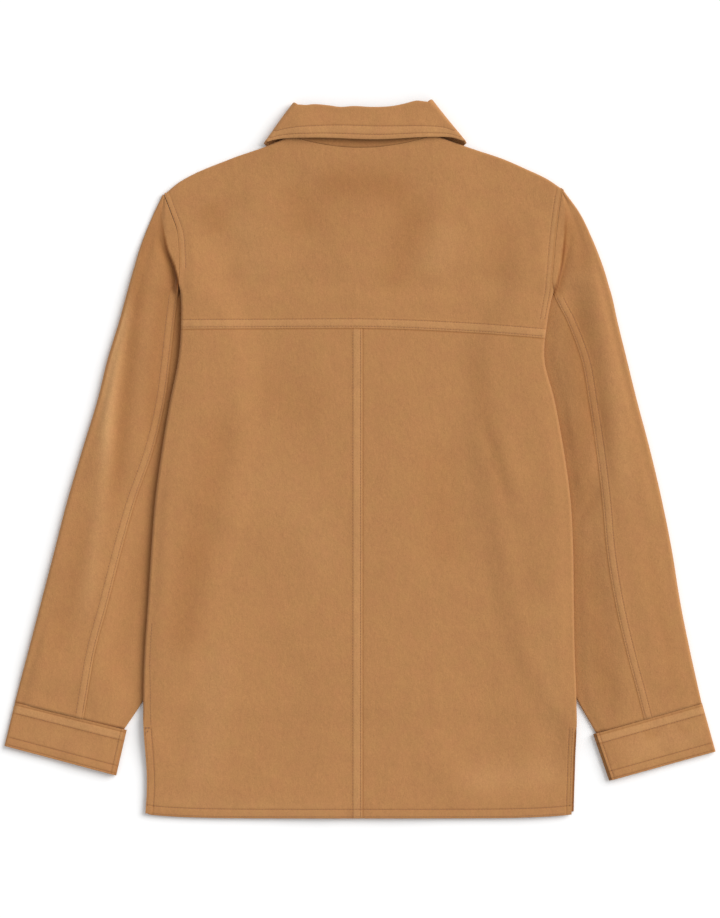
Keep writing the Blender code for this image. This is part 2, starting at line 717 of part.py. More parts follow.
def button(name, x, y, radius, cloth_low):
    """A flat round button lying under the cloth, whose lower face is at cloth_low."""
    low = cloth_low - SEAM_GAP - BUTTON_THICKNESS
    bpy.ops.mesh.primitive_cylinder_add(
        vertices=BUTTON_SIDES,
        radius=radius,
        depth=BUTTON_THICKNESS,
        location=(x, y, low + BUTTON_THICKNESS / 2),
    )
    made = bpy.context.object
    made.name = name
    made.data.materials.append(material(name, HORN, HORN_ROUGHNESS))
    made.data.shade_smooth()
    made.data.set_sharp_from_angle(angle=math.radians(30))
    return made


def buttons():
    for i in range(BUTTON_COUNT):
        height = TOP_BUTTON_HEIGHT - i * BUTTON_PITCH
        cloth_low = front_layer(0.0, height - BUTTON_RADIUS, 1) - CLOTH / 2
        button("button_front_%d" % (i + 1), 0.0, height, BUTTON_RADIUS, cloth_low)
    for side in SIDES:
        x, y = on_cuff(side, CUFF_BUTTON_ACROSS, 0.5)
        button("button_cuff_" + side.name, x, y, CUFF_BUTTON_RADIUS, BUTTON_THICKNESS + SEAM_GAP)


def main():
    for old in list(bpy.data.objects):
        bpy.data.objects.remove(old)
    yoke()
    for side in SIDES:
        back_panel(side)
        front_panel(side)
        sleeve_upper(side)
        sleeve_under(side)
        cuff(side)
    collar()
    buttons()


main()
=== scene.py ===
"""Looks of the suede shirt jacket: each packed wall of cloth is drawn again as a fine sheet.

Metres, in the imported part's own frame: +Z up, +Y towards the collar, +X towards the wearer's right.
A sheet is a grid of points on its middle surface, from the same sizes as the part, with its creases,
felled seams and grooves, thickened both ways. Stitches are joined meshes that lie in the grooves.
"""

import math
from collections import namedtuple

import bmesh
import bpy
import numpy as np
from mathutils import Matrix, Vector


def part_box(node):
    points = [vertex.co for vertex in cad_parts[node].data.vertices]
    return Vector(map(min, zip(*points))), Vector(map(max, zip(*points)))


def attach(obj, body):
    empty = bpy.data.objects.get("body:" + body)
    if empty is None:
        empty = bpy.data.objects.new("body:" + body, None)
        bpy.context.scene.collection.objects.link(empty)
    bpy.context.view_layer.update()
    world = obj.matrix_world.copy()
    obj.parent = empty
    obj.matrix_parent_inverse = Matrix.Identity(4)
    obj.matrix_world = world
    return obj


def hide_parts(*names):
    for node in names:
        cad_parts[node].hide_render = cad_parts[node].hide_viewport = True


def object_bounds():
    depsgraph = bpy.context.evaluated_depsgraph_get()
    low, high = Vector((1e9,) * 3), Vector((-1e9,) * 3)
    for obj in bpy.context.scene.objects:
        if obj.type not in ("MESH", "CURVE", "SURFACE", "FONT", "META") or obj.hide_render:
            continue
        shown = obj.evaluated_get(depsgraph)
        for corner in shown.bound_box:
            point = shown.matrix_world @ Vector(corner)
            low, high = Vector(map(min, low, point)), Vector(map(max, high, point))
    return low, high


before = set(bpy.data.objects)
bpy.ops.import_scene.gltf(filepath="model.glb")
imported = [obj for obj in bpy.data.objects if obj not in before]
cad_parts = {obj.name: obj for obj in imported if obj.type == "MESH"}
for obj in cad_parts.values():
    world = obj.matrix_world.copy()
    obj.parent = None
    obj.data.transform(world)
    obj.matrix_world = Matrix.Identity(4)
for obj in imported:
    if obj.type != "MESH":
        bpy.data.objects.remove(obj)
CAD_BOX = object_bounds()

# Cloth and seams.
CLOTH = 0.0012
COLLAR_CLOTH = 0.0016
STAND_CLOTH = 0.0014
CUFF_CLOTH = 0.0020
SEAM_GAP = 0.0003
TURNED_SEAM_GAP = 0.0005
NECK_GAP = -0.0004
VISIBLE_GAP = 0.00012
ROLL_GAP = 0.0008
RIM_STEPS = 7

# Heights of the middle surfaces over the floor.
FLOOR_LAYER = CLOTH / 2
SLEEVE_UNDER_BODY = 0.0026
SLEEVE_LOFT = 0.0070
SLEEVE_LOFT_START = 0.004
SLEEVE_LOFT_WIDTH = 0.050
CUFF_SETTLE = 0.050
BODY_ON_SLEEVE = 0.0036
BODY_RISE = 0.0029
BACK_LAYER = 0.0046
BACK_OVER_BAND = 0.0014
BACK_BAND_RAMP = 0.110
BACK_OVER_LEAF = 0.0010

# Body. The hem rises at the side seams, and turns up a little at its left corner.
CENTRE_BACK_OUT = 0.0026
UNDERARM_FADE = 0.012
RIM_FADE = 0.020
SHOULDER_TURN_FADE = 0.012
HEM_HEIGHT = -0.3805
HEM_HALF_WIDTH = 0.228
HEM_SIDE_RISE = 0.0045
HEM_SIDE_POWER = 6
HEM_CORNER_START = 0.2205
HEM_CORNER = 0.0070
HEM_CORNER_RISE = 0.0040
HEM_CORNER_TURN = 0.96
FRONT_HEM_RISE = 0.003

# Side vents. On the right, a sliver of the front shows beside the back.
VENT_TOP = -0.284
VENT_FADE = 0.022
VENT_LEAD = 0.003
VENT_RAMP = 0.004
VENT_SLIVER = 0.0024

# The stretch of each side where the body lies on the sleeve.
SHELF_TOP = 0.245
SHELF_TOP_FADE = 0.060
SHELF_LOW = -0.335
SHELF_LOW_FADE = 0.045
SHELF_MARGIN = 0.020
SHELF_RAMP = 0.035
TUCK_LOW = -0.29

# How the back billows over the sleeves: from where, and over how much it fades.
BODY_PUFF = 0.0024
PUFF_TOP = 0.268
PUFF_TOP_FADE = 0.09
PUFF_LOW = -0.40
PUFF_LOW_FADE = 0.42
PUFF_OUT = 0.085
PUFF_OUT_FADE = 0.105

# Centre front: two fronts lapped over each other, with buttons under them.
LAP = 0.017
BAND_FLAT = 0.023
BAND_RAMP = 0.024
BUTTON_THICKNESS = 0.0018
OUTER_LAP_LAYER = BUTTON_THICKNESS + SEAM_GAP + CLOTH / 2
INNER_LAP_LAYER = OUTER_LAP_LAYER + CLOTH + SEAM_GAP

# Collar: the fall turns over the stand, and both go round the neck as a flattened ring.
COLLAR_TURN = 0.0050
COLLAR_ROLL = 0.0013
COLLAR_MIDDLE = COLLAR_TURN + COLLAR_CLOTH / 2
STAND_TURN = COLLAR_TURN - 2 * COLLAR_ROLL
FALL_DROP = 0.0006
NECK_BACK_HEIGHT = 0.3295
NECK_FRONT_HEIGHT = 0.283
NECK_FRONT_POWER = 2.6
NECK_RISE_REACH = 0.045
COLLAR_FRONT_TOP = (0.005, 0.300)
COLLAR_FRONT_POINT = (0.058, 0.236)
LEAF_OUT = 0.112
LEAF_LOW = 0.230
LEAF_RAMP = 0.035

# Cuffs.
CUFF_TOP_LAYER = 0.0044
CUFF_LAP_RISE = 0.0010
CUFF_UNDERLAP = 0.0030
CUFF_LAP_FLAT = 0.70
CUFF_LAP_RAMP = 0.25

# One row for each section of a sleeve and of the body beside it, from the shoulder to the cuff.
# height: along the jacket. edge: outer edge of the sleeve. seam: the armhole down to the underarm,
# then the sleeve's back seam. fold: where the body lies over the sleeve. tuck: inner edge of the sleeve.
Section = namedtuple("Section", "height edge seam fold tuck")

LEFT_SECTIONS = (
    Section(0.2770, 0.2105, 0.2070, 0.2110, 0.200),
    Section(0.2598, 0.2188, 0.2004, 0.2112, 0.195),
    Section(0.2415, 0.2266, 0.1940, 0.2080, 0.192),
    Section(0.2213, 0.2340, 0.1919, 0.2035, 0.190),
    Section(0.2022, 0.2396, 0.1912, 0.1961, 0.189),
    Section(0.1800, 0.2459, 0.1925, 0.1908, 0.186),
    Section(0.1470, 0.2549, 0.1965, 0.1896, 0.168),
    Section(0.1050, 0.2677, 0.2012, 0.1924, 0.155),
    Section(0.0620, 0.2783, 0.2068, 0.2009, 0.155),
    Section(0.0100, 0.2942, 0.2190, 0.2097, 0.160),
    Section(-0.0440, 0.3101, 0.2378, 0.2170, 0.168),
    Section(-0.0970, 0.3238, 0.2527, 0.2212, 0.178),
    Section(-0.1500, 0.3376, 0.2661, 0.2245, 0.190),
    Section(-0.2030, 0.3514, 0.2803, 0.2282, 0.204),
    Section(-0.2560, 0.3653, 0.2896, 0.2297, 0.230),
    Section(-0.2864, 0.3720, 0.2950, 0.2291, 0.250),
)
RIGHT_SECTIONS = (
    Section(0.2830, 0.2163, 0.2140, 0.2175, 0.205),
    Section(0.2605, 0.2325, 0.2106, 0.2178, 0.200),
    Section(0.2340, 0.2454, 0.2074, 0.2160, 0.198),
    Section(0.2012, 0.2581, 0.2045, 0.2115, 0.197),
    Section(0.1832, 0.2634, 0.2032, 0.2069, 0.196),
    Section(0.1740, 0.2662, 0.2050, 0.2038, 0.194),
    Section(0.1470, 0.2722, 0.2181, 0.1985, 0.176),
    Section(0.1050, 0.2825, 0.2336, 0.1950, 0.160),
    Section(0.0620, 0.2931, 0.2414, 0.2055, 0.158),
    Section(0.0100, 0.3069, 0.2494, 0.2152, 0.162),
    Section(-0.0440, 0.3196, 0.2558, 0.2227, 0.170),
    Section(-0.0970, 0.3302, 0.2605, 0.2254, 0.180),
    Section(-0.1500, 0.3387, 0.2690, 0.2261, 0.190),
    Section(-0.2030, 0.3493, 0.2811, 0.2270, 0.203),
    Section(-0.2560, 0.3612, 0.2952, 0.2290, 0.230),
    Section(-0.2900, 0.3690, 0.3040, 0.2290, 0.2497),
)

# The body's side below the sleeve, then the vent, as (height, out).
LEFT_VENT = ((-0.312, 0.2272), (-0.332, 0.2260), (-0.352, 0.2260), (-0.3723, 0.2274))
RIGHT_VENT = ((-0.312, 0.2280), (-0.332, 0.2275), (-0.352, 0.2268), (-0.3723, 0.2263))

# Shoulder line from the neck point to the armhole, as (out, height).
LEFT_SHOULDER = ((0.074, 0.3420), (0.1023, 0.3300), (0.1373, 0.3178), (0.1903, 0.2939), (0.2070, 0.2805))
RIGHT_SHOULDER = (
    (0.078, 0.3430), (0.1129, 0.3305), (0.1256, 0.3263), (0.1511, 0.3178),
    (0.1754, 0.3072), (0.1977, 0.2966), (0.2135, 0.2860),
)

# Yoke seam, as (across, height).
YOKE_SEAM = (
    (-0.190, 0.1371), (-0.050, 0.1380), (0.000, 0.1381), (0.060, 0.1365), (0.127, 0.1329), (0.197, 0.1273),
)

# A side of the jacket: which way it lies, its tables, the height where its cap seam meets the fold,
# where its armhole seam ends under the fold, and its corners of the collar and the cuff, as (out, height).
Side = namedtuple(
    "Side", "name sign sections vent shoulder cap_end armhole_end collar_corner fall_corner cuff"
)

# Corners of a cuff: (out, height) of its outer top, outer bottom, inner bottom and inner top.
Cuff = namedtuple("Cuff", "outer_top outer_bottom inner_bottom inner_top")

LEFT = Side(
    "left", -1, LEFT_SECTIONS, LEFT_VENT, LEFT_SHOULDER, 0.190, (0.1912, 0.1990),
    (0.0716, 0.3765), (0.1023, 0.3342),
    Cuff((0.3657, -0.2578), (0.3768, -0.3038), (0.2613, -0.3344), (0.2502, -0.2864)),
)
RIGHT = Side(
    "right", 1, RIGHT_SECTIONS, RIGHT_VENT, RIGHT_SHOULDER, 0.1832, (0.1960, 0.1430),
    (0.0769, 0.3798), (0.1129, 0.3347),
    Cuff((0.3623, -0.2589), (0.3764, -0.3098), (0.2666, -0.3400), (0.2497, -0.2907)),
)
SIDES = (LEFT, RIGHT)

# A first guess of an out distance, from which a few rounds find where a row meets a line.
USUAL_OUT = 0.2


def mix(a, b, share):
    return a + (b - a) * share


def ease(value):
    """0 below 0, 1 above 1, and smooth between them."""
    value = np.clip(value, 0.0, 1.0)
    return value * value * (3 - 2 * value)


def bump(value):
    """A soft ridge: 1 at 0, about 0 beyond 2."""
    return np.exp(-np.square(value))


def curve_through(knots):
    """A smooth function through (at, value) knots. Its slopes come from the neighbouring knots."""
    ats, values = np.array(sorted(knots), dtype=float).T
    steps = np.diff(values) / np.diff(ats)
    slopes = np.concatenate((steps[:1], (steps[:-1] + steps[1:]) / 2, steps[-1:]))

    def value_at(at):
        at = np.asarray(at, dtype=float)
        i = np.clip(np.searchsorted(ats, at, side="right") - 1, 0, len(ats) - 2)
        span = ats[i + 1] - ats[i]
        t = np.clip((at - ats[i]) / span, 0.0, 1.0)
        inside = (
            (2 * t**3 - 3 * t**2 + 1) * values[i]
            + (t**3 - 2 * t**2 + t) * span * slopes[i]
            + (3 * t**2 - 2 * t**3) * values[i + 1]
            + (t**3 - t**2) * span * slopes[i + 1]
        )
        return inside + slopes[0] * np.minimum(at - ats[0], 0) + slopes[-1] * np.maximum(at - ats[-1], 0)

    return value_at


def column(side, name):
    """One column of a side's sections, as a smooth function of height."""
    return curve_through([(row.height, getattr(row, name)) for row in side.sections])


EDGE = {side.name: column(side, "edge") for side in SIDES}
SEAM = {side.name: column(side, "seam") for side in SIDES}
TUCK = {side.name: column(side, "tuck") for side in SIDES}
SHOULDER = {side.name: curve_through(side.shoulder) for side in SIDES}
FOLD = {
    side.name: curve_through([(row.height, row.fold) for row in side.sections] + list(side.vent))
    for side in SIDES
}
YOKE_LINE = curve_through(YOKE_SEAM)


def either(x, of):
    """A value that each side has in its own way: of(RIGHT) where x is positive, of(LEFT) elsewhere."""
    return np.where(x >= 0, of(RIGHT), of(LEFT))


def body_out(side, height):
    """Distance out of the body's edge: the armhole seam above the underarm, the side fold below it."""
    over = ease((height - side.cap_end + UNDERARM_FADE) / UNDERARM_FADE)
    return mix(FOLD[side.name](height), SEAM[side.name](height) - VISIBLE_GAP, over)


def rim_curl(side, height):
    """1 where the body's edge turns down to the side seam, 0 at the armhole and at the vent."""
    at_armhole = ease((height - side.cap_end + RIM_FADE) / RIM_FADE)
    at_vent = ease((VENT_TOP + VENT_FADE - height) / VENT_FADE)
    return (1 - at_armhole) * (1 - at_vent)


def on_sleeve(side, out, height):
    """1 where the body lies on the sleeve, falling to 0 towards the centre, the shoulder and the hem."""
    below_shoulder = ease((SHELF_TOP - height) / SHELF_TOP_FADE)
    above_vent = ease((height - SHELF_LOW) / SHELF_LOW_FADE)
    start = TUCK[side.name](np.maximum(height, TUCK_LOW)) - SHELF_MARGIN - SHELF_RAMP
    return below_shoulder * above_vent * ease((out - start) / SHELF_RAMP)


def neck_line(x, lowest, power):
    """Height of the neck seam at x: lowest at the centre, up to the shoulder's neck point."""
    out = either(x, lambda side: side.shoulder[0][0])
    top = either(x, lambda side: side.shoulder[0][1])
    return lowest + (top - lowest) * np.minimum(1.0, abs(x) / out) ** power


def top_line(x, lowest, power):
    """Top edge of a body panel: the neck seam, then the shoulder line."""
    at_neck = neck_line(x, lowest, power) - NECK_GAP
    at_shoulder = either(x, lambda side: SHOULDER[side.name](abs(x)))
    return np.where(abs(x) <= either(x, lambda side: side.shoulder[0][0]), at_neck, at_shoulder)


def hem_line(x):
    """Height of the bottom edge, a little higher at the side seams."""
    at_sides = HEM_SIDE_RISE * (abs(x) / HEM_HALF_WIDTH) ** HEM_SIDE_POWER
    corner = np.clip((-x - HEM_CORNER_START) / HEM_CORNER, 0.0, 1.0)
    return HEM_HEIGHT + at_sides + HEM_CORNER_RISE * (1 - np.sqrt(1 - HEM_CORNER_TURN * corner**2))


def near_neck(x, height):
    """1 at the neck seam of the back, falling to 0 below it and along the shoulder."""
    below = neck_line(x, NECK_BACK_HEIGHT, 2) - height
    beyond = abs(x) - either(x, lambda side: side.shoulder[0][0])
    return 1 - ease(np.hypot(np.maximum(0.0, below), np.maximum(0.0, beyond)) / NECK_RISE_REACH)


def over_leaf(x, height):
    """1 where a front lies over the collar's front leaf, 0 clear of it."""
    along = ease((height - LEAF_LOW + LEAF_RAMP) / LEAF_RAMP)
    return along * (1 - ease((abs(x) - LEAF_OUT) / LEAF_RAMP))


def in_band(x, inner):
    """1 over the centre-front lap, 0 where the front lies on the floor. inner says which way it ends."""
    return 1 - ease((x * inner - BAND_FLAT) / BAND_RAMP)


def front_layer(x, height, sign):
    """Middle height of a front panel. The right front (sign 1) is the outer one at the lap."""
    side = LEFT if sign < 0 else RIGHT
    lap = OUTER_LAP_LAYER if sign > 0 else INNER_LAP_LAYER
    band = (lap - FLOOR_LAYER) * in_band(x, sign)
    leaf = (COLLAR_MIDDLE - STAND_TURN - FLOOR_LAYER) * over_leaf(x, height)
    if sign < 0:
        leaf = leaf + (INNER_LAP_LAYER - OUTER_LAP_LAYER) * in_band(x, sign) * over_leaf(x, height)
    shelf = BODY_ON_SLEEVE * on_sleeve(side, abs(x), height) * (x * sign > 0)
    return FLOOR_LAYER + np.maximum(np.maximum(band, leaf), shelf)


def back_layer(x, height):
    """Middle height of the back: over the lap at the centre, over the sleeves at the sides."""
    level = BACK_LAYER + BACK_OVER_BAND * (1 - ease((abs(x) - BAND_FLAT) / BACK_BAND_RAMP))
    level = level + BODY_RISE * either(x, lambda side: on_sleeve(side, abs(x), height))
    level = level + BACK_OVER_LEAF * over_leaf(x, height + LEAF_RAMP / 2)
    return mix(level, COLLAR_MIDDLE + STAND_TURN, near_neck(x, height))


def sleeve_layer(side, out, height):
    """Middle height of a sleeve's top layer: low under the body, lofted towards its outer edge."""
    beyond = (out - FOLD[side.name](height) - SLEEVE_LOFT_START) / SLEEVE_LOFT_WIDTH
    (cuff_out, cuff_height), (inner_out, inner_height) = side.cuff.outer_top, side.cuff.inner_top
    cuff_line = mix(inner_height, cuff_height, (out - inner_out) / (cuff_out - inner_out))
    loft = mix(CUFF_TOP_LAYER, SLEEVE_LOFT, ease((height - cuff_line) / CUFF_SETTLE))
    return mix(SLEEVE_UNDER_BODY, loft, ease(beyond))


# Drape: soft folds that the cloth keeps. A fold runs through three points (x, y), in
# millimetres, and is a ridge where its height is positive and a trough where it is negative.
# It runs beyond both ends by a share of its length as it fades.
Drape = namedtuple("Drape", "start middle end width height")
DRAPE_OVERRUN = 0.18

BACK_DRAPES = (
    Drape((-142, 40), (-150, -30), (-164, -88), 20, -1.5),
    Drape((-160, -70), (-178, -130), (-190, -190), 22, -1.7),
    Drape((-120, 70), (-126, -20), (-134, -80), 22, 0.8),
    Drape((-205, -20), (-208, -100), (-210, -200), 13, 0.9),
    Drape((-130, -150), (-150, -230), (-168, -320), 22, 0.9),
    Drape((-70, 110), (-80, 60), (-62, 10), 26, -0.7),
    Drape((-48, 20), (-52, -80), (-44, -160), 26, 0.5),
    Drape((-90, -190), (-74, -270), (-80, -360), 28, -0.7),
    Drape((118, 105), (127, 66), (133, 30), 13, -0.9),
    Drape((133, 34), (142, 0), (155, -44), 8, -1.5),
    Drape((146, 30), (158, -10), (168, -52), 12, 0.8),
    Drape((155, -44), (168, -92), (180, -150), 13, -0.9),
    Drape((100, 40), (96, -40), (112, -110), 26, -0.8),
    Drape((60, 60), (58, -60), (70, -180), 30, 0.6),
    Drape((196, 60), (206, -60), (208, -190), 14, 0.8),
    Drape((190, -190), (196, -250), (204, -330), 14, -0.7),
    Drape((110, -210), (140, -260), (150, -340), 24, -0.9),
    Drape((60, -300), (120, -350), (200, -364), 18, 0.8),
    Drape((-200, -330), (-120, -356), (-40, -366), 18, 0.6),
    Drape((-76, 300), (-56, 262), (-58, 210), 26, -1.1),
    Drape((60, 306), (44, 262), (40, 200), 28, -1.3),
    Drape((84, 286), (84, 230), (72, 176), 20, 0.8),
    Drape((-150, 262), (-146, 232), (-126, 214), 18, -1.1),
    Drape((150, 258), (142, 222), (146, 180), 20, -0.9),
    Drape((-112, 290), (-104, 240), (-98, 180), 18, 0.7),
    Drape((182, 262), (190, 232), (188, 200), 9, 0.9),
    Drape((-186, 246), (-178, 216), (-180, 180), 10, 0.9),
    Drape((-20, 240), (-6, 200), (10, 168), 24, 0.6),
)
SLEEVE_DRAPES = {"left": (
    Drape((-250, 150), (-263, 84), (-268, 0), 8, 2.2),
    Drape((-268, 10), (-277, -60), (-290, -160), 10, 1.0),
    Drape((-244, 150), (-250, 70), (-262, -30), 11, -1.8),
    Drape((-214, 150), (-228, 60), (-240, -20), 12, 0.9),
    Drape((-284, -20), (-302, -100), (-322, -190), 14, -1.2),
    Drape((-236, -70), (-250, -150), (-262, -230), 13, -1.0),
    Drape((-252, -216), (-244, -246), (-250, -272), 10, -1.0),
    Drape((-330, -180), (-344, -224), (-350, -252), 12, 0.8),
    Drape((-225, 235), (-232, 200), (-243, 150), 9, -1.0),
    Drape((-300, -240), (-318, -252), (-340, -250), 8, -0.7),
), "right": (
    Drape((222, 190), (241, 110), (256, 28), 12, -2.0),
    Drape((244, 60), (253, 20), (254, -20), 9, -1.4),
    Drape((248, 190), (264, 90), (276, -20), 12, 1.4),
    Drape((214, 120), (226, 60), (228, 10), 10, 0.9),
    Drape((229, -66), (240, -50), (252, -36), 5, -1.3),
    Drape((226, -28), (238, -16), (247, 4), 8, 0.8),
    Drape((240, -90), (254, -150), (268, -215), 12, -1.0),
    Drape((300, -60), (316, -150), (332, -236), 14, -0.9),
    Drape((282, -50), (300, -140), (318, -230), 12, 0.8),
    Drape((262, -226), (266, -252), (262, -276), 10, -1.0),
    Drape((226, 262), (232, 232), (236, 196), 9, -1.2),
    Drape((300, -244), (322, -250), (346, -244), 8, -0.7),
)}
COLLAR_DRAPES = (
    Drape((-30, 376), (-34, 358), (-30, 340), 12, -0.4),
    Drape((20, 376), (26, 358), (22, 340), 14, 0.4),
    Drape((52, 378), (60, 360), (66, 342), 10, 0.4),
    Drape((-60, 376), (-62, 360), (-70, 342), 10, 0.4),
)
HIDDEN_DRAPES = (
    Drape((-160, 60), (-150, -60), (-170, -180), 26, 0.7),
    Drape((-90, -120), (-84, -220), (-96, -330), 28, 0.6),
    Drape((92, 120), (88, 0), (104, -120), 28, 0.7),
    Drape((160, -100), (166, -200), (158, -310), 26, 0.6),
)

# Patches of tone, in the same form, partly nap brushed another way and partly painted light: painted shade
# in the drapes' troughs and over the neck's slope, and painted highlight on ridges such as the left
# sleeve's.
# Their heights are tones, in thousandths: below 0 darker, above 0 lighter.
BACK_NAP_AND_PAINTED_LIGHT = (
    Drape((-40, 292), (0, 292), (50, 286), 18, -170),
    Drape((64, 268), (50, 230), (30, 180), 20, -120),
    Drape((-70, 262), (0, 258), (80, 262), 34, -60),
    Drape((-72, 290), (-64, 270), (-60, 240), 20, -90),
    Drape((92, 250), (86, 226), (70, 200), 20, 90),
    Drape((-160, 270), (-155, 256), (-148, 240), 14, -120),
    Drape((-130, 260), (-118, 230), (-108, 190), 16, 70),
    Drape((150, 250), (150, 220), (146, 190), 22, -70),
    Drape((-146, 40), (-160, -30), (-176, -100), 20, -110),
    Drape((-172, -90), (-182, -140), (-190, -200), 20, -150),
    Drape((-110, 80), (-75, 62), (-40, 50), 26, -60),
    Drape((80, 10), (84, -44), (90, -110), 24, -80),
    Drape((118, 105), (140, 10), (150, -40), 10, -60),
    Drape((-150, -200), (-160, -280), (-172, -350), 20, 90),
    Drape((110, -340), (160, -336), (214, -330), 18, 130),
    Drape((196, -150), (200, -230), (204, -300), 12, 60),
    Drape((-30, -120), (-60, -60), (-110, -10), 30, 60),
    Drape((-210, -360), (-120, -370), (-20, -372), 12, 70),
)
SLEEVE_NAP_AND_PAINTED_LIGHT = (
    Drape((-246, 170), (-263, 84), (-270, 0), 8, 400),
    Drape((-270, 0), (-277, -60), (-290, -160), 9, 150),
    Drape((-236, 170), (-248, 70), (-260, -40), 9, -190),
    Drape((-226, 250), (-232, 210), (-240, 160), 14, -180),
    Drape((-206, 190), (-216, 110), (-222, 30), 9, -150),
    Drape((-290, -60), (-306, -130), (-326, -210), 14, -80),
    Drape((-232, -100), (-250, -180), (-262, -240), 14, -70),
    Drape((226, 160), (238, 90), (251, 20), 16, -200),
    Drape((222, 40), (234, -10), (242, -60), 14, -110),
    Drape((236, -100), (250, -180), (262, -260), 14, -120),
    Drape((222, 256), (230, 236), (234, 200), 12, -130),
    Drape((300, -100), (318, -170), (334, -240), 12, -60),
    Drape((262, 110), (274, 30), (284, -40), 10, 60),
)
CUFF_TONE_PATCHES = (
    Drape((282, -312), (320, -300), (360, -290), 18, 130),
    Drape((300, -286), (306, -292), (316, -290), 5, -130),
    Drape((336, -283), (344, -288), (352, -284), 5, -90),
    Drape((-350, -290), (-320, -300), (-280, -310), 14, 50),
)


def drape(x, y, drapes):
    """Height that a list of drapes adds at x, y. Each follows a bent line and fades at its ends."""
    total = np.zeros(np.broadcast(x, y).shape)
    for fold in drapes:
        points = np.array([fold.start, fold.middle, fold.end]) / 1000
        width = fold.width / 1000
        run = points[2] - points[0]
        length = math.hypot(*run)
        along = ((x - points[0, 0]) * run[0] + (y - points[0, 1]) * run[1]) / length**2
        off = ((x - points[0, 0]) * run[1] - (y - points[0, 1]) * run[0]) / length
        middle = points[1] - points[0]
        bend = (middle[0] * run[1] - middle[1] * run[0]) / length
        held = np.clip(along, -0.2, 1.2)
        off = off - bend * 4 * held * (1 - held)
        starting = ease((along + DRAPE_OVERRUN) / (2 * DRAPE_OVERRUN))
        ending = ease((1 + DRAPE_OVERRUN - along) / (2 * DRAPE_OVERRUN))
        total = total + fold.height / 1000 * bump(off / width) * starting * ending
    return total


def wander(x, y, cell, seed):
    """Smooth seeded unevenness between -1 and 1, with features about one cell wide."""
    size = 64
    table = np.random.default_rng(seed).uniform(-1, 1, (size, size))
    across = np.asarray(x) / cell + size / 2
    along = np.asarray(y) / cell + size / 2
    i, j = np.floor(across).astype(int), np.floor(along).astype(int)
    here, beyond = i % size, (i + 1) % size
    low, high = j % size, (j + 1) % size
    share = ease(across - i)
    low_value = mix(table[here, low], table[beyond, low], share)
    return mix(low_value, mix(table[here, high], table[beyond, high], share), ease(along - j))


# Felled seams and topstitching, as distances from the seam's edge.
STRIP_RISE = 0.0004
STRIP_FADE = 0.0022
STRIP_EDGE_WIDTH = 0.0008
EDGE_DROP = 0.00012
GROOVE_DEPTH = 0.00035
GROOVE_WIDTH = 0.0007
CUT_EDGE_DROP = 0.0004
CUT_EDGE_WIDTH = 0.0009
YOKE_GROOVES = (0.0022, 0.0101)
CENTRE_GROOVES = (0.0024, 0.0104)
SLEEVE_GROOVES = (0.0022, 0.0090)
ARMHOLE_GROOVES = (0.0016, 0.0065)
ARMHOLE_FADE = 0.006
HEM_GROOVE = 0.0095
VENT_GROOVE = 0.0080
SIDE_DROP = 0.0011
SIDE_DROP_WIDTH = 0.012


def strip(distance, grooves):
    """Profile of a felled seam on its lapping side: a raised strip with a groove along each stitch line."""
    last = grooves[-1]
    rise = STRIP_RISE * (1 - ease((distance - last) / STRIP_FADE))
    rise = rise - (STRIP_RISE + EDGE_DROP) * bump(distance / STRIP_EDGE_WIDTH)
    for at in grooves:
        rise = rise + groove(distance, at)
    return rise


def under_lap(distance):
    """Profile of the side that a seam covers: it dips beside the edge."""
    return -EDGE_DROP * bump(distance / STRIP_FADE)


def groove(distance, at):
    """Profile of the groove that a row of stitches pulls into the cloth."""
    return -GROOVE_DEPTH * bump((distance - at) / GROOVE_WIDTH)


# Tones that the cloth's colour takes at its seams: below 0 darker, above 0 lighter. The darkening in
# ditches, in grooves and at a strip's edge is painted shade.
DITCH_PAINTED_SHADE = -0.34
DITCH_PAINTED_SHADE_WIDTH = 0.0010
GROOVE_PAINTED_SHADE = -0.17
GROOVE_PAINTED_SHADE_WIDTH = 0.0008
STRIP_TONE = 0.14
STRIP_TONE_START = 0.0015
STRIP_TONE_FADE = 0.002
STRIP_TONE_LEAD = 0.001
STRIP_EDGE_PAINTED_SHADE = DITCH_PAINTED_SHADE * 0.5
STRIP_EDGE_PAINTED_SHADE_WIDTH = 0.0006
ARMHOLE_TONE = 0.10
ARMHOLE_TONE_AT = 0.0045
ARMHOLE_DITCH_SHARE = 0.15


def strip_tone(distance, grooves):
    """Tone of a felled seam on its lapping side: lighter on the strip, with painted shade at its edge and
    grooves.
    """
    ending = ease((distance - grooves[-1] + STRIP_TONE_LEAD) / STRIP_TONE_FADE)
    tone = STRIP_TONE * (1 - ending) * ease(distance / STRIP_TONE_START)
    tone = tone + STRIP_EDGE_PAINTED_SHADE * bump(distance / STRIP_EDGE_PAINTED_SHADE_WIDTH)
    for at in grooves:
        tone = tone + groove_painted_shade(distance, at)
    return tone


def ditch_painted_shade(distance):
    """Painted shade on the side that a seam covers: dark beside the edge."""
    return DITCH_PAINTED_SHADE * bump(distance / DITCH_PAINTED_SHADE_WIDTH)


def groove_painted_shade(distance, at):
    """Painted shade in a row of stitches' groove."""
    return GROOVE_PAINTED_SHADE * bump((distance - at) / GROOVE_PAINTED_SHADE_WIDTH)


def armhole_out(side, height):
    """Distance out of the armhole seam, and of its end beside the fold below the underarm."""
    low_out, low_height = side.armhole_end
    top = SEAM[side.name](np.maximum(height, side.cap_end))
    share = (side.cap_end - height) / (side.cap_end - low_height)
    return np.where(height >= side.cap_end, top, mix(SEAM[side.name](side.cap_end), low_out, share))


def over_armhole(side, height):
    """1 along the armhole seam of the back, 0 below its end."""
    return ease((height - side.armhole_end[1]) / ARMHOLE_FADE)


def beside_vent(height):
    """1 along a vent, 0 above it."""
    return ease((VENT_TOP + VENT_LEAD - height) / VENT_RAMP)


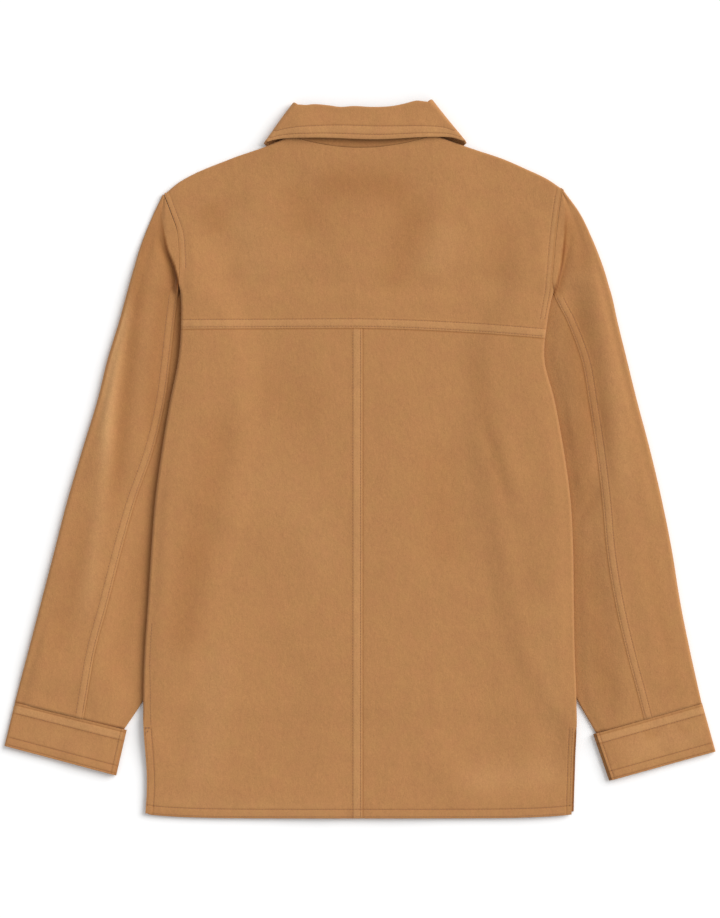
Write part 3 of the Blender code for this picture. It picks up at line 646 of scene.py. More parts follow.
def puff(out, height):
    """1 where the body billows over the sleeve beside it, fading to the centre, shoulder and hem."""
    below_shoulder = ease((PUFF_TOP - height) / PUFF_TOP_FADE)
    above_hem = ease((height - PUFF_LOW) / PUFF_LOW_FADE)
    return below_shoulder * above_hem * ease((out - PUFF_OUT) / PUFF_OUT_FADE)


# What a seam gives the cloth on its lapping side, on its covered side and along a row of stitches.
Profile = namedtuple("Profile", "lapping covered line")
LIFTS = Profile(strip, under_lap, groove)
TONES = Profile(strip_tone, ditch_painted_shade, groove_painted_shade)


def back_lines(x, y, profile):
    """What the seams and rows of stitches give the back of the body, as heights or as tones."""
    over_yoke = y - YOKE_LINE(x)
    on_yoke = over_yoke > 0
    total = np.where(on_yoke, profile.lapping(over_yoke, YOKE_GROOVES), profile.covered(over_yoke))
    from_centre = CENTRE_BACK_OUT - x
    lapping = profile.lapping(from_centre, CENTRE_GROOVES)
    centre = np.where(from_centre > 0, lapping, profile.covered(from_centre))
    total = total + np.where(on_yoke, 0.0, centre + profile.line(y - hem_line(x), HEM_GROOVE))
    for side in SIDES:
        here = x * side.sign > 0
        from_armhole = armhole_out(side, y) - x * side.sign
        for at in ARMHOLE_GROOVES:
            total = total + here * over_armhole(side, y) * profile.line(from_armhole, at)
        from_side = body_out(side, y) - x * side.sign
        total = total + here * beside_vent(y) * profile.line(from_side, VENT_GROOVE)
    return total


def back_seams(x, y):
    """Height that the seams, grooves and edges give the back of the body."""
    lift = back_lines(x, y, LIFTS) - CUT_EDGE_DROP * bump((y - hem_line(x)) / CUT_EDGE_WIDTH)
    for side in SIDES:
        here = x * side.sign > 0
        from_armhole = armhole_out(side, y) - x * side.sign
        lift = lift - here * over_armhole(side, y) * EDGE_DROP * bump(from_armhole / CUT_EDGE_WIDTH)
        from_side = body_out(side, y) - x * side.sign
        lift = lift - here * beside_vent(y) * CUT_EDGE_DROP * bump(from_side / CUT_EDGE_WIDTH)
    return lift


def back_tone(x, y):
    """Tone of the back of the body: its patches of nap and painted light, its lighter seam strips, painted
    shade in its ditches and grooves, and its armholes.
    """
    tone = drape(x, y, BACK_NAP_AND_PAINTED_LIGHT) + back_lines(x, y, TONES)
    for side in SIDES:
        from_armhole = armhole_out(side, y) - x * side.sign
        # A lighter band beside the armhole, and painted shade in the armhole's ditch.
        beside = ARMHOLE_TONE * bump((from_armhole - ARMHOLE_TONE_AT) / ARMHOLE_TONE_AT)
        beside = beside + ARMHOLE_DITCH_SHARE * ditch_painted_shade(from_armhole)
        tone = tone + (x * side.sign > 0) * over_armhole(side, y) * beside
    return tone


def back_form(x, y):
    """Middle height of the back without its seams: the layer, its billow and its drapes."""
    from_side = either(x, lambda side: body_out(side, y)) - abs(x)
    side_fade = ease((from_side - 0.002) / 0.014)
    loose = drape(x, y, BACK_DRAPES) + 0.00035 * wander(x, y, 0.045, 3) + 0.00016 * wander(x, y, 0.014, 4)
    level = back_layer(x, y) + BODY_PUFF * puff(abs(x), y)
    raised = SIDE_DROP * either(x, lambda side: rim_curl(side, y))
    return level + raised * (1 - bump(from_side / SIDE_DROP_WIDTH)) + side_fade * loose


def back_surface(x, y):
    return back_form(x, y) + back_seams(x, y)


def front_surface(side):
    """Middle height of a front, with soft folds where nothing lies close over it."""
    def layer(x, y):
        along = ease((y + 0.36) / 0.05) * ease((0.20 - y) / 0.05)
        flat = ease((abs(x) - 0.05) / 0.02) * ease((0.13 - abs(x)) / 0.03)
        lift = along * flat * np.maximum(0, drape(x, y, HIDDEN_DRAPES) + 0.0002 * wander(x, y, 0.05, 7))
        return front_layer(x, y, side.sign) + lift
    return layer


def fine_rim_radius(side, height):
    """Radius of the side's turn between the billowed back and the front."""
    x = side.sign * (body_out(side, height) - CLOTH)
    return (back_form(x, height) - front_layer(x, height, side.sign)) / 2


def turned(radius, curl, turn):
    """Steps of an edge that turns through a quarter circle, as (out, up) arrays."""
    last = math.pi / 2 - TURNED_SEAM_GAP / radius
    steps = []
    for i in range(1, RIM_STEPS + 1):
        angle = last * i / RIM_STEPS
        reach = mix(radius * i / RIM_STEPS, radius * np.sin(angle), curl)
        steps.append((reach, turn * curl * radius * (1 - np.cos(angle))))
    return steps


def millimetres(*values):
    return [value / 1000 for value in values]


def spread(start, end, count):
    """Even steps between two values, without the values themselves."""
    return [mix(start, end, i / count) for i in range(1, count)]


def half_body(side, heights, layer, turn, inner, near, far, count):
    """Fine grid of one half of a body panel: arrays x, y, z of rows by columns, with its side rim.

    heights(x) gives one row of heights for each x column. near and far are distances from the two ends.
    """
    rows = heights(np.array([[side.sign * USUAL_OUT]])).shape[0]
    side_height = heights(np.full((rows, 1), side.sign * USUAL_OUT))[:, 0]
    for _ in range(4):
        side_height = heights((side.sign * body_out(side, side_height))[:, None])[:, 0]
    radius = fine_rim_radius(side, side_height)[:, None]
    curl = rim_curl(side, side_height)[:, None]
    start = body_out(side, side_height)[:, None] - radius - curl * CLOTH / 2
    outs = [inner + distance + 0 * start for distance in near]
    outs += spread(inner + near[-1], start - far[0], count)
    outs += [start - distance for distance in far]
    x = side.sign * np.concatenate(outs, axis=1)
    y = heights(x)
    z = layer(x, y)
    edge = [array[:, -1:] for array in (x, y, z)]
    for reach, up in turned(radius, curl, turn):
        x = np.concatenate((x, edge[0] + side.sign * reach), axis=1)
        y = np.concatenate((y, edge[1]), axis=1)
        z = np.concatenate((z, edge[2] + up), axis=1)
    return x, y, z


def row_heights(low, high, bottom, count, top):
    """Heights of rows between two lines: dense distances at both ends and even rows between."""
    def heights(x):
        bottom_edge, top_edge = low(x), high(x)
        parts = [bottom_edge + distance for distance in bottom]
        parts += spread(bottom_edge + bottom[-1], top_edge - top[0], count)
        parts += [top_edge - distance for distance in top]
        if x.shape[0] == 1:
            return np.concatenate(parts, axis=0)
        return np.stack([part[i] for i, part in enumerate(parts)])
    return heights


def shoulder_turn(x, y, z, other, turn):
    """Adds the rows that turn over the shoulder line, flat across the neck."""
    radius = abs(z[-1] - other(x[-1], y[-1])) / 2
    beyond_neck = abs(x[-1]) - either(x[-1], lambda side: side.shoulder[0][0])
    curl = ease(beyond_neck / SHOULDER_TURN_FADE)
    rows = [(x[-1], y[-1] + reach, z[-1] + up) for reach, up in turned(radius, curl, turn)]
    return [np.concatenate((whole, np.stack(added))) for whole, added in zip((x, y, z), zip(*rows))]


# Sleeves. Rows go by their share of the way from the cap to the cuff.
CAP_TOP_DROP = 0.004
CUFF_SEAM_GAP = 0.00006
CAP_LOW_GAP = 0.0004
CAP_SHARE = 0.165
CAP_FADE = 0.025
TIP_SHARE = -0.0125
FRONT_SEAM_SHARE = 0.30
FRONT_SEAM_FADE = 0.030
SLEEVE_ROUND = 0.0013
SLEEVE_TURN_STEPS = {"upper": 12, "under": 8}
SEAM_START = 0.006
SEAM_START_FADE = 0.010

# Painted shade on a sleeve beside the body's fold: a thin dark crease with a halo, and a broader shade that
# fades outwards.
CREASE_TOP = 0.262
CREASE_TOP_FADE = 0.05
PAINTED_CREASE_SHADE = -0.50
CREASE_AT = 0.0008
CREASE_WIDTH = 0.0013
PAINTED_HALO_SHADE = -0.22
CREASE_HALO_AT = 0.002
CREASE_HALO_WIDTH = 0.006
PAINTED_FOLD_SHADE = {
    "left": curve_through([
        (-0.30, 0.10), (-0.10, 0.26), (0.08, 0.38), (0.13, 0.50), (0.19, 0.50), (0.24, 0.22), (0.28, 0.05),
    ]),
    "right": curve_through([
        (-0.30, 0.20), (-0.05, 0.22), (0.10, 0.16), (0.19, 0.12), (0.24, 0.20), (0.28, 0.05),
    ]),
}
PAINTED_FOLD_SHADE_WIDTH = {"left": 0.0075, "right": 0.0035}
# How strongly a sleeve's back seam shows its lighter strip and painted shade, and the painted shade in the
# armhole's ditch.
SLEEVE_SEAM_TONE = 0.7
SLEEVE_DITCH_PAINTED_SHADE = 0.10


def sleeve_line(side, share, out):
    """Height of a sleeve row at an out distance. Rows tilt more and more towards the cuff's line."""
    top = side.sections[0].height - CAP_TOP_DROP
    cuff_out, cuff_height = side.cuff.outer_top
    inner_out, inner_height = side.cuff.inner_top
    tilt = (cuff_height - inner_height) / (cuff_out - inner_out) * share
    at_edge = mix(top, cuff_height + CUFF_SEAM_GAP, share)
    return at_edge - tilt * (EDGE[side.name](at_edge) - out)


def out_on_row(side, share, line):
    """Where a sleeve row meets a line that is given as out by height."""
    out = line(sleeve_line(side, share, USUAL_OUT))
    for _ in range(6):
        out = line(sleeve_line(side, share, out))
    return out


def front_seam(side):
    """The sleeve's front seam, on its lower layer: the armhole, then near the inner edge."""
    def line(height):
        lower = mix(TUCK[side.name](height), EDGE[side.name](height), FRONT_SEAM_SHARE)
        over = ease((height - side.cap_end + FRONT_SEAM_FADE) / FRONT_SEAM_FADE)
        return mix(lower, SEAM[side.name](np.maximum(height, side.cap_end)), over)

    return line


def sleeve_loose(side, out, height):
    """Drapes of a sleeve's top layer, kept away from the body's fold and from the outer edge."""
    x = side.sign * out
    clear = ease((out - FOLD[side.name](height) - 0.003) / 0.012)
    inside = ease((EDGE[side.name](height) - out - 0.002) / 0.010)
    lift = drape(x, height, SLEEVE_DRAPES[side.name])
    lift = lift + 0.0003 * wander(x, height, 0.035, 11) + 0.00014 * wander(x, height, 0.012, 12)
    middle = SLEEVE_ROUND * ease((EDGE[side.name](height) - out) / 0.022)
    return clear * (inside * np.maximum(lift, -0.0022) + middle)


def below_cap(side, height):
    """1 where a sleeve has its back seam, 0 beside the armhole."""
    return ease((side.cap_end - SEAM_START - height) / SEAM_START_FADE)


def sleeve_seam(side, out, height, profile):
    """The back seam of a sleeve: its strip lies on the outer part, its ditch on the inner part."""
    distance = out - SEAM[side.name](height)
    seam = np.where(distance >= 0, profile.lapping(distance, SLEEVE_GROOVES), profile.covered(distance))
    return below_cap(side, height) * seam


def sleeve_tone(side, out, height):
    """Tone of a sleeve's top layer: its patches of nap and painted light, its seam with painted shade in
    its ditch and grooves, and painted shade at the crease and beside the body's fold.
    """
    beside_armhole = 1 - below_cap(side, height)
    tone = SLEEVE_SEAM_TONE * sleeve_seam(side, out, height, TONES)
    tone = tone + beside_armhole * SLEEVE_DITCH_PAINTED_SHADE * ditch_painted_shade(out - SEAM[side.name](height))
    tone = tone + drape(side.sign * out, height, SLEEVE_NAP_AND_PAINTED_LIGHT)
    beyond = out - FOLD[side.name](height)
    painted_halo = PAINTED_HALO_SHADE * bump((beyond - CREASE_HALO_AT) / CREASE_HALO_WIDTH) * (beyond > 0)
    painted_crease = PAINTED_CREASE_SHADE * bump((beyond - CREASE_AT) / CREASE_WIDTH) + painted_halo
    held = beside_armhole * ease((CREASE_TOP - height) / CREASE_TOP_FADE)
    fold_painted_shade = PAINTED_FOLD_SHADE[side.name](height) * np.exp(-np.maximum(beyond, 0.0) / PAINTED_FOLD_SHADE_WIDTH[side.name])
    return tone + held * painted_crease - fold_painted_shade * (beyond > -0.001)


def sleeve_surface(side, out, height):
    """Middle height of a sleeve's top layer, with its drapes and its seam."""
    level = sleeve_layer(side, out, height) + sleeve_loose(side, out, height)
    return level + sleeve_seam(side, out, height, LIFTS)


def from_seam(seam, dense_end, turn_out, steps, count):
    """Outs of a sleeve's top layer: dense steps beside the seam, then even ones up to the turn."""
    scale = (dense_end - seam) / steps[-1]
    outs = [seam + step * scale for step in steps]
    outs += spread(dense_end, turn_out, count)
    return np.concatenate(outs + [turn_out], axis=1)


def down_to_floor(side, share, top, turn_out, reach, radius, seam, steps):
    """A sleeve's top layer, then its turn round an edge and its flat lower layer, up to a seam.

    reach is the turn's radius across: above 0 round the outer edge, below 0 round the inner one.
    """
    parts = [top]
    for i in range(1, steps):
        angle = math.radians(180 * i / steps)
        out = turn_out + reach * math.sin(angle)
        parts.append((out, sleeve_line(side, share, out), FLOOR_LAYER + radius * (1 + math.cos(angle))))
    for k in range(steps + 1):
        out = mix(turn_out, seam, k / steps)
        parts.append((out, sleeve_line(side, share, out), FLOOR_LAYER + 0 * out))
    out, y, z = (np.concatenate(arrays, axis=1) for arrays in zip(*parts))
    return side.sign * out, y, z


def sleeve_upper_grid(side, rows, strip_steps, count):
    """The outer part of a sleeve: armhole or back seam, round the outer edge, to the front seam."""
    share = np.array(rows)[:, None]
    cap = 1 - ease((share - CAP_SHARE) / CAP_FADE)
    seam = out_on_row(side, share, SEAM[side.name])
    fold = out_on_row(side, share, FOLD[side.name])
    edge = out_on_row(side, share, EDGE[side.name])
    low_seam = out_on_row(side, share, front_seam(side))
    at_seam = sleeve_line(side, share, seam)
    seam = seam + VISIBLE_GAP - cap * (2 * VISIBLE_GAP - 0.00004)
    low_seam = low_seam + mix(SEAM_GAP, CAP_LOW_GAP, cap)
    width = edge - seam

    # The top layer's end, just before it turns round the outer edge.
    cap_level = back_form(side.sign * seam, at_seam)
    top_end = sleeve_layer(side, edge, sleeve_line(side, share, edge))
    top_end = mix(top_end, mix(cap_level, top_end, ease(width / 0.03)), cap)
    radius = (top_end - FLOOR_LAYER) / 2
    reach = np.minimum(radius, width * 0.5)
    turn_out = edge - reach - np.minimum(CLOTH / 2, width * 0.3)

    # The cap comes out of the armhole level with the body, and steps down past the body's fold.
    step_start = np.minimum(np.maximum(mix(seam, fold, 0.8), seam + 0.001), mix(seam, turn_out, 0.3))
    near_tip = ease((at_seam - 0.195) / 0.06)
    step_end = np.maximum(fold + 0.0035 + 0.008 * near_tip, seam + 0.005)
    step_end = np.minimum(step_end, mix(seam, turn_out, 0.7))

    dense_end = np.minimum(seam + strip_steps[-1], mix(seam, turn_out, 0.6))
    out = from_seam(seam, dense_end, turn_out, strip_steps, count)
    y = sleeve_line(side, share, out)
    along = (out - seam) / (turn_out - seam)
    settle = mix(ease((along - 0.6) / 0.4), along, cap)
    low_z = mix(sleeve_layer(side, out, y), top_end, settle)
    step_down = ease((out - step_start) / (step_end - step_start))
    z = mix(low_z, mix(cap_level, low_z, step_down), cap)
    z = z + ease((turn_out - out) / 0.010) * sleeve_loose(side, out, y)
    z = z + (1 - cap) * sleeve_seam(side, out, y, LIFTS)
    z = z - cap * EDGE_DROP * bump((out - seam) / CUT_EDGE_WIDTH)
    steps = SLEEVE_TURN_STEPS["upper"]
    return down_to_floor(side, share, (out, y, z), turn_out, reach, radius, low_seam, steps)


def sleeve_under_grid(side, rows, strip_steps, count):
    """The inner part of a sleeve, from the back seam, round the inner edge, to the front seam."""
    share = np.array(rows)[:, None]
    seam = out_on_row(side, share, SEAM[side.name])
    tuck = out_on_row(side, share, TUCK[side.name])
    low_seam = out_on_row(side, share, front_seam(side))
    radius = (sleeve_layer(side, tuck, sleeve_line(side, share, tuck)) - FLOOR_LAYER) / 2
    turn_out = tuck + radius + CLOTH / 2
    dense_end = np.maximum(seam - strip_steps[-1], mix(seam, turn_out, 0.5))
    out = from_seam(seam, dense_end, turn_out, strip_steps, count)
    y = sleeve_line(side, share, out)
    z = sleeve_layer(side, out, y) + sleeve_seam(side, out, y, LIFTS)
    z = z + ease((out - turn_out) / 0.012) * sleeve_loose(side, out, y)
    steps = SLEEVE_TURN_STEPS["under"]
    return down_to_floor(side, share, (out, y, z), turn_out, -radius, radius, low_seam, steps)


# Rows of stitches on a cuff, as distances from its top, its lower edge and its inner end.
CUFF_TOP_GROOVES = (0.0026, 0.0110)
CUFF_LOW_GROOVES = (0.0020, 0.0100)
CUFF_END_GROOVE = 0.0030
CUFF_BAND_RISE = 0.0005
# How much stronger the painted shade is in a cuff's grooves.
CUFF_GROOVE_PAINTED_SHADE = 1.8


def cuff_lap(across):
    """1 near a cuff's inner end, where its button lies under it, and 0 over its outer half."""
    return ease((across - CUFF_LAP_FLAT + CUFF_LAP_RAMP) / CUFF_LAP_RAMP)


def cuff_size(side):
    """Length of a cuff along its top, and its depth."""
    corner = side.cuff.outer_top
    return math.dist(corner, side.cuff.inner_top), math.dist(corner, side.cuff.outer_bottom)


def on_cuff(side, across, down):
    """Point of a cuff's outline: across 0 at its outer edge and 1 at its inner end, down 0 at its top."""
    top = [mix(a, b, across) for a, b in zip(side.cuff.outer_top, side.cuff.inner_top)]
    low = [mix(a, b, across) for a, b in zip(side.cuff.outer_bottom, side.cuff.inner_bottom)]
    out, height = (mix(a, b, down) for a, b in zip(top, low))
    return side.sign * out, height


def cuff_surface(side, across, down):
    """Middle height of a cuff's upper layer, with its bands and grooves."""
    length, depth = cuff_size(side)
    from_top, from_low, from_end = down * depth, (1 - down) * depth, (1 - across) * length
    z = CUFF_TOP_LAYER + CUFF_LAP_RISE * cuff_lap(across)
    z = z + CUFF_BAND_RISE * (1 - ease((from_top - 0.0108) / 0.002))
    for at in CUFF_TOP_GROOVES:
        z = z + groove(from_top, at)
    for at in CUFF_LOW_GROOVES:
        z = z + groove(from_low, at)
    z = z + groove(from_end, CUFF_END_GROOVE) - EDGE_DROP * bump(from_end / 0.001)
    x, y = on_cuff(side, across, down)
    inside = ease(from_top / 0.006) * ease(from_low / 0.004) * ease(across * length / 0.01)
    return z + inside * (0.0005 * wander(x, y, 0.028, 21) + 0.0002 * wander(x, y, 0.009, 22))


def cuff_tone(side, across, down):
    """Tone of a cuff's cloth: lighter on the band along its top, with painted shade in its ditch and
    grooves.
    """
    length, depth = cuff_size(side)
    from_top, from_low, from_end = down * depth, (1 - down) * depth, (1 - across) * length
    tone = STRIP_TONE * 1.2 * (1 - ease((from_top - 0.0100) / 0.002)) * ease((from_top - 0.002) / 0.002)
    tone = tone + 0.3 * ditch_painted_shade(from_top) + 1.2 * groove_painted_shade(from_top, CUFF_TOP_GROOVES[0])
    tone = tone + CUFF_GROOVE_PAINTED_SHADE * groove_painted_shade(from_top, CUFF_TOP_GROOVES[1])
    for at in CUFF_LOW_GROOVES:
        tone = tone + CUFF_GROOVE_PAINTED_SHADE * groove_painted_shade(from_low, at)
    tone = tone + groove_painted_shade(from_end, CUFF_END_GROOVE)
    return tone + drape(*on_cuff(side, across, down), CUFF_TONE_PATCHES)


def cuff_grid(side):
    """A cuff, from its inner end over its upper layer, round the outer edge and along its lower layer."""
    length, depth = cuff_size(side)
    low_layer = CUFF_CLOTH / 2
    radius = (CUFF_TOP_LAYER - low_layer) / 2
    turn = (radius + CUFF_CLOTH / 2) / length
    from_top = millimetres(0, 0.5, 1, 1.6, 2.1, 2.6, 3.1, 3.8, 5, 7, 9, 10, 10.5, 11, 11.5, 12.2, 13.2)
    from_low = millimetres(12, 11, 10.5, 10, 9.5, 9, 8, 6, 4, 3, 2.5, 2, 1.5, 1, 0.5, 0)
    down = [step / depth for step in from_top]
    down += spread(from_top[-1] / depth, 1 - from_low[0] / depth, 10)
    down += [1 - step / depth for step in from_low]
    down = np.array(down)[:, None]
    ends = millimetres(0, 0.5, 1, 1.8, 2.5, 3, 3.5, 4.2, 6)
    across = [1 - step / length for step in ends] + spread(1 - ends[-1] / length, turn, 42) + [turn]
    across = np.array(across)[None, :] + 0 * down
    x, y = on_cuff(side, across, down)
    parts = [(x, y, cuff_surface(side, across, down), cuff_tone(side, across, down))]
    for i in range(1, 10):
        angle = math.radians(180 * i / 10)
        at = turn - radius / length * math.sin(angle) + 0 * down
        x, y = on_cuff(side, at, down)
        z = low_layer + radius * (1 + math.cos(angle)) + 0 * x
        parts.append((x, y, z, 0.7 * cuff_tone(side, at, down)))
    for k in range(25):
        at = mix(turn, 1.0 + CUFF_UNDERLAP / length, k / 24) + 0 * down
        x, y = on_cuff(side, at, down)
        z = low_layer + (BUTTON_THICKNESS + SEAM_GAP) * cuff_lap(at)
        # Painted shade on the underlap where it shows beyond the upper layer's inner end.
        tone = 0.7 * cuff_tone(side, np.minimum(at, 1.0), down) - 0.25 * ease((at - 1) * 400)
        parts.append((x, y, z, tone))
    return tuple(np.concatenate(arrays, axis=1) for arrays in zip(*parts))


# Collar. Its top fold and its lower edge wave a little between their corners: (across, height).
FALL_TOP = curve_through(
    [
        (-0.0716, 0.3770), (-0.0631, 0.3741), (-0.0504, 0.3755), (-0.0334, 0.3741), (-0.0217, 0.3725),
        (-0.0069, 0.3733), (0.0133, 0.3724), (0.0345, 0.3735), (0.0482, 0.3763), (0.0652, 0.3805),
        (0.0769, 0.3795),
    ]
)
FALL_LOW = curve_through(
    [
        (-0.1023, 0.3338), (-0.0906, 0.3376), (-0.0535, 0.3396), (0.0196, 0.3379), (0.0811, 0.3406),
        (0.0991, 0.3396), (0.1129, 0.3348),
    ]
)
FALL_GROOVES = (0.0050, 0.0140)
FALL_LIFT = 0.0030
ROLL_STEPS = 8
STAND_STEPS = 14

# Sections of half a collar: along the back, round the turn at its end, and along the front leaf.
COLLAR_STEPS = (44, 14, 36)


def collar_sections(side, back_steps, turn_steps, front_steps):
    """Sections round half of the collar, from the centre back to the front end.

    Each has the in-plane points of the roll, the outer edge and the neck seam, the turn's angle, and
    how far it is from the centre back (0) to the end of the back (1).
    """
    corner, fall_corner = side.collar_corner, side.fall_corner
    run = (fall_corner[0] - corner[0], fall_corner[1] - corner[1])
    length = math.hypot(*run)
    facing = (-run[1] / length, run[0] / length)
    inset = COLLAR_TURN + COLLAR_CLOTH / 2
    roll_inset = COLLAR_ROLL + COLLAR_CLOTH / 2
    top = (corner[0] - facing[0] * inset, corner[1] - facing[1] * inset)
    edge = (fall_corner[0] - facing[0] * inset, fall_corner[1] - facing[1] * inset)
    neck = (side.shoulder[0][0] - STAND_TURN - STAND_CLOTH / 2, side.shoulder[0][1])
    sections = []
    for k in range(back_steps):
        share = k / back_steps
        across = mix(0.0, neck[0], share)
        top_out, edge_out = mix(0.0, top[0], share), mix(0.0, edge[0], share)
        settle = float(ease((share - 0.75) / 0.25))
        top_y = mix(float(FALL_TOP(side.sign * top_out)) - roll_inset, top[1], settle)
        edge_y = float(FALL_LOW(side.sign * edge_out))
        neck_y = float(neck_line(np.array(side.sign * across), NECK_BACK_HEIGHT, 2))
        sections.append(((top_out, top_y), (edge_out, edge_y), (across, neck_y), 0.0, facing))
    low_edge = float(FALL_LOW(side.sign * edge[0]))
    for k in range(turn_steps + 1):
        settle = float(ease(2 * k / turn_steps))
        turned_edge = (edge[0], mix(low_edge, edge[1], settle))
        sections.append((top, turned_edge, neck, math.pi * k / turn_steps, facing))
    for k in range(1, front_steps + 1):
        share = k / front_steps
        across = mix(neck[0], 0.002, share)
        neck_y = float(neck_line(np.array(side.sign * across), NECK_FRONT_HEIGHT, NECK_FRONT_POWER))
        sections.append((
            (mix(top[0], COLLAR_FRONT_TOP[0], share), mix(top[1], COLLAR_FRONT_TOP[1], share)),
            (mix(edge[0], COLLAR_FRONT_POINT[0], share), mix(edge[1], COLLAR_FRONT_POINT[1], share)),
            (across, neck_y), math.pi, facing,
        ))
    return sections


def collar_point(side, base, facing, angle, reach):
    """A point at reach from the collar's middle plane, turned by angle from up, through out, to down."""
    out = base[0] + facing[0] * reach * math.sin(angle)
    y = base[1] + facing[1] * reach * math.sin(angle)
    return side.sign * out, y, COLLAR_MIDDLE + reach * math.cos(angle)


def fall_reach(side, base, share, angle, length):
    """Reach of the fall from the collar's middle: it lifts towards its edge, with its grooves."""
    over = max(0.0, math.cos(angle / 2)) ** 2
    x, y = side.sign * base[0], base[1]
    held = 1 - 0.8 * float(ease((abs(x) - 0.055) / 0.035))
    lift = FALL_LIFT * float(ease((1 - share) * 1.2)) * over * held
    lift += over * float(ease(share * 6) * ease((1 - share) * 6)) * float(
        drape(np.array([x]), np.array([y]), COLLAR_DRAPES)[0] + 0.0004 * wander(x, y, 0.03, 31)
    )
    grooves = sum(float(groove(share * length, at)) for at in FALL_GROOVES)
    edge = -0.0004 * float(bump(share * length / 0.0010))
    return COLLAR_TURN - FALL_DROP * (1 - share) * math.cos(angle / 2) + lift + grooves + edge


def fall_row(side, section):
    """The fall's points in one section, from its outer edge, up and over the roll, with their tones."""
    top, edge, _, angle, facing = section
    run = (top[0] - edge[0], top[1] - edge[1])
    length = math.hypot(*run)
    steps = millimetres(0, 0.6, 1.2, 2, 3, 4, 4.5, 5, 5.5, 6, 7, 8.5, 10, 12, 13, 13.5, 14, 14.5, 15, 16)
    shares = [step / length for step in steps] + spread(steps[-1] / length, 1.0, 12) + [1.0]
    row, tones = [], []
    for share in shares:
        base = (mix(edge[0], top[0], share), mix(edge[1], top[1], share))
        row.append(collar_point(side, base, facing, angle, fall_reach(side, base, share, angle, length)))
        # Lighter along the band by the edge, with painted shade in the grooves.
        band = 0.13 * float(1 - ease((share * length - 0.013) / 0.002)) * max(0.0, math.cos(angle / 2)) ** 2
        tones.append(band + 1.3 * sum(float(groove_painted_shade(share * length, at)) for at in FALL_GROOVES))
    last = math.pi - SEAM_GAP / COLLAR_ROLL
    for k in range(1, ROLL_STEPS + 1):
        roll = last * k / ROLL_STEPS
        beyond = COLLAR_ROLL * math.sin(roll) / length
        base = (top[0] + run[0] * beyond, top[1] + run[1] * beyond)
        reach = COLLAR_TURN - COLLAR_ROLL * (1 - math.cos(roll))
        row.append(collar_point(side, base, facing, angle, reach))
        tones.append(0.0)
    return row, tones


def stand_row(side, section):
    """The stand's points in one section, from the roll down to the neck seam, with their tones: painted
    shade where the stand lies under the fall.
    """
    top, edge, neck, angle, facing = section
    run = (edge[0] - top[0], edge[1] - top[1])
    gap = ROLL_GAP / math.hypot(*run)
    start = (top[0] + run[0] * gap, top[1] + run[1] * gap)
    over = max(0.0, math.cos(angle / 2)) ** 2
    row, tones = [], []
    for k in range(STAND_STEPS + 1):
        share = k / STAND_STEPS
        base = (mix(start[0], neck[0], share), mix(start[1], neck[1], share))
        turned_to = (mix(facing[0], 1.0, share), mix(facing[1], 0.0, share))
        dip = 0.0008 * over * float(ease((share - 0.3) / 0.3) * ease((1.02 - share) / 0.1))
        row.append(collar_point(side, base, turned_to, angle, STAND_TURN - dip))
        # Painted shade on the stand under the fall's edge.
        tones.append(-0.18 * over)
    return row, tones


def collar_grid(make_row):
    """Arrays of a collar strip, from one front end round the back to the other."""
    left, right = (
        [make_row(side, section) for section in collar_sections(side, *COLLAR_STEPS)] for side in SIDES
    )
    rows = left[:0:-1] + right
    points = np.array([row for row, _ in rows])
    tones = np.array([tones for _, tones in rows])
    return points[:, :, 0], points[:, :, 1], points[:, :, 2], tones


# Materials. Noise scales are features in a metre. A layer of suede is (scale, detail, amount).
SUEDE = (0.420, 0.198, 0.074)
THREAD = (0.27, 0.112, 0.040)
HORN = (0.20, 0.11, 0.06)
DARK_HORN = (0.045, 0.022, 0.012)
SHEEN = (0.95, 0.68, 0.46, 1.0)
BRUSHING = (1.0, 0.62, 1.0)
WARMTH_NOISE = (60, 2.0)
WARMTH_REACH = 0.012
SUEDE_LAYERS = ((22, 2.0, 0.05), (85, 3.0, 0.05), (330, 3.0, 0.10), (1300, 2.0, 0.22))
# How the tone attribute colours the suede: darker tones, mostly painted shade, turn redder and deeper.
DARKEST_TONE = 0.30
TONE_REACH = 0.62
TONE_HUE = 0.024
TONE_DEPTH = 0.22


class Nodes:
    """Short names for building one material's node tree."""

    def __init__(self, name):
        self.material = bpy.data.materials.new(name)
        self.material.use_nodes = True
        self.tree = self.material.node_tree
        self.shader = self.tree.nodes["Principled BSDF"]

    def add(self, kind, links=(), **values):
        node = self.tree.nodes.new(kind)
        for key, value in values.items():
            setattr(node, key, value)
        for socket, source in dict(links).items():
            self.feed(node, socket, source)
        return node

    def feed(self, node, socket, source):
        """Gives a socket a link or a plain value."""
        if hasattr(source, "is_output"):
            self.tree.links.new(source, node.inputs[socket])
        else:
            node.inputs[socket].default_value = source

    def math(self, operation, a, b):
        return self.add("ShaderNodeMath", {0: a, 1: b}, operation=operation).outputs[0]

    def noise(self, place, scale, detail, roughness=0.55):
        links = {"Vector": place, "Scale": scale, "Detail": detail, "Roughness": roughness}
        return self.add("ShaderNodeTexNoise", links).outputs["Fac"]

    def scaled(self, value, factor, offset=0.0):
        """A value times a factor, plus an offset."""
        product = self.math("MULTIPLY", value, factor)
        return self.math("ADD", product, offset)

    def mapped(self, place, **values):
        return self.add("ShaderNodeMapping", {"Vector": place, **values}).outputs["Vector"]

    def tinted(self, colour, level):
        """A colour made lighter or darker by a level."""
        links = {0: colour, "Scale": level}
        return self.add("ShaderNodeVectorMath", links, operation="SCALE").outputs[0]

    def bump(self, height, strength, distance):
        """Gives the shader's normal a fine relief."""
        links = {"Height": height, "Strength": strength, "Distance": distance}
        self.set("Normal", self.add("ShaderNodeBump", links).outputs["Normal"])

    def place(self):
        return self.add("ShaderNodeTexCoord").outputs["Object"]

    def set(self, socket, source):
        self.feed(self.shader, socket, source)


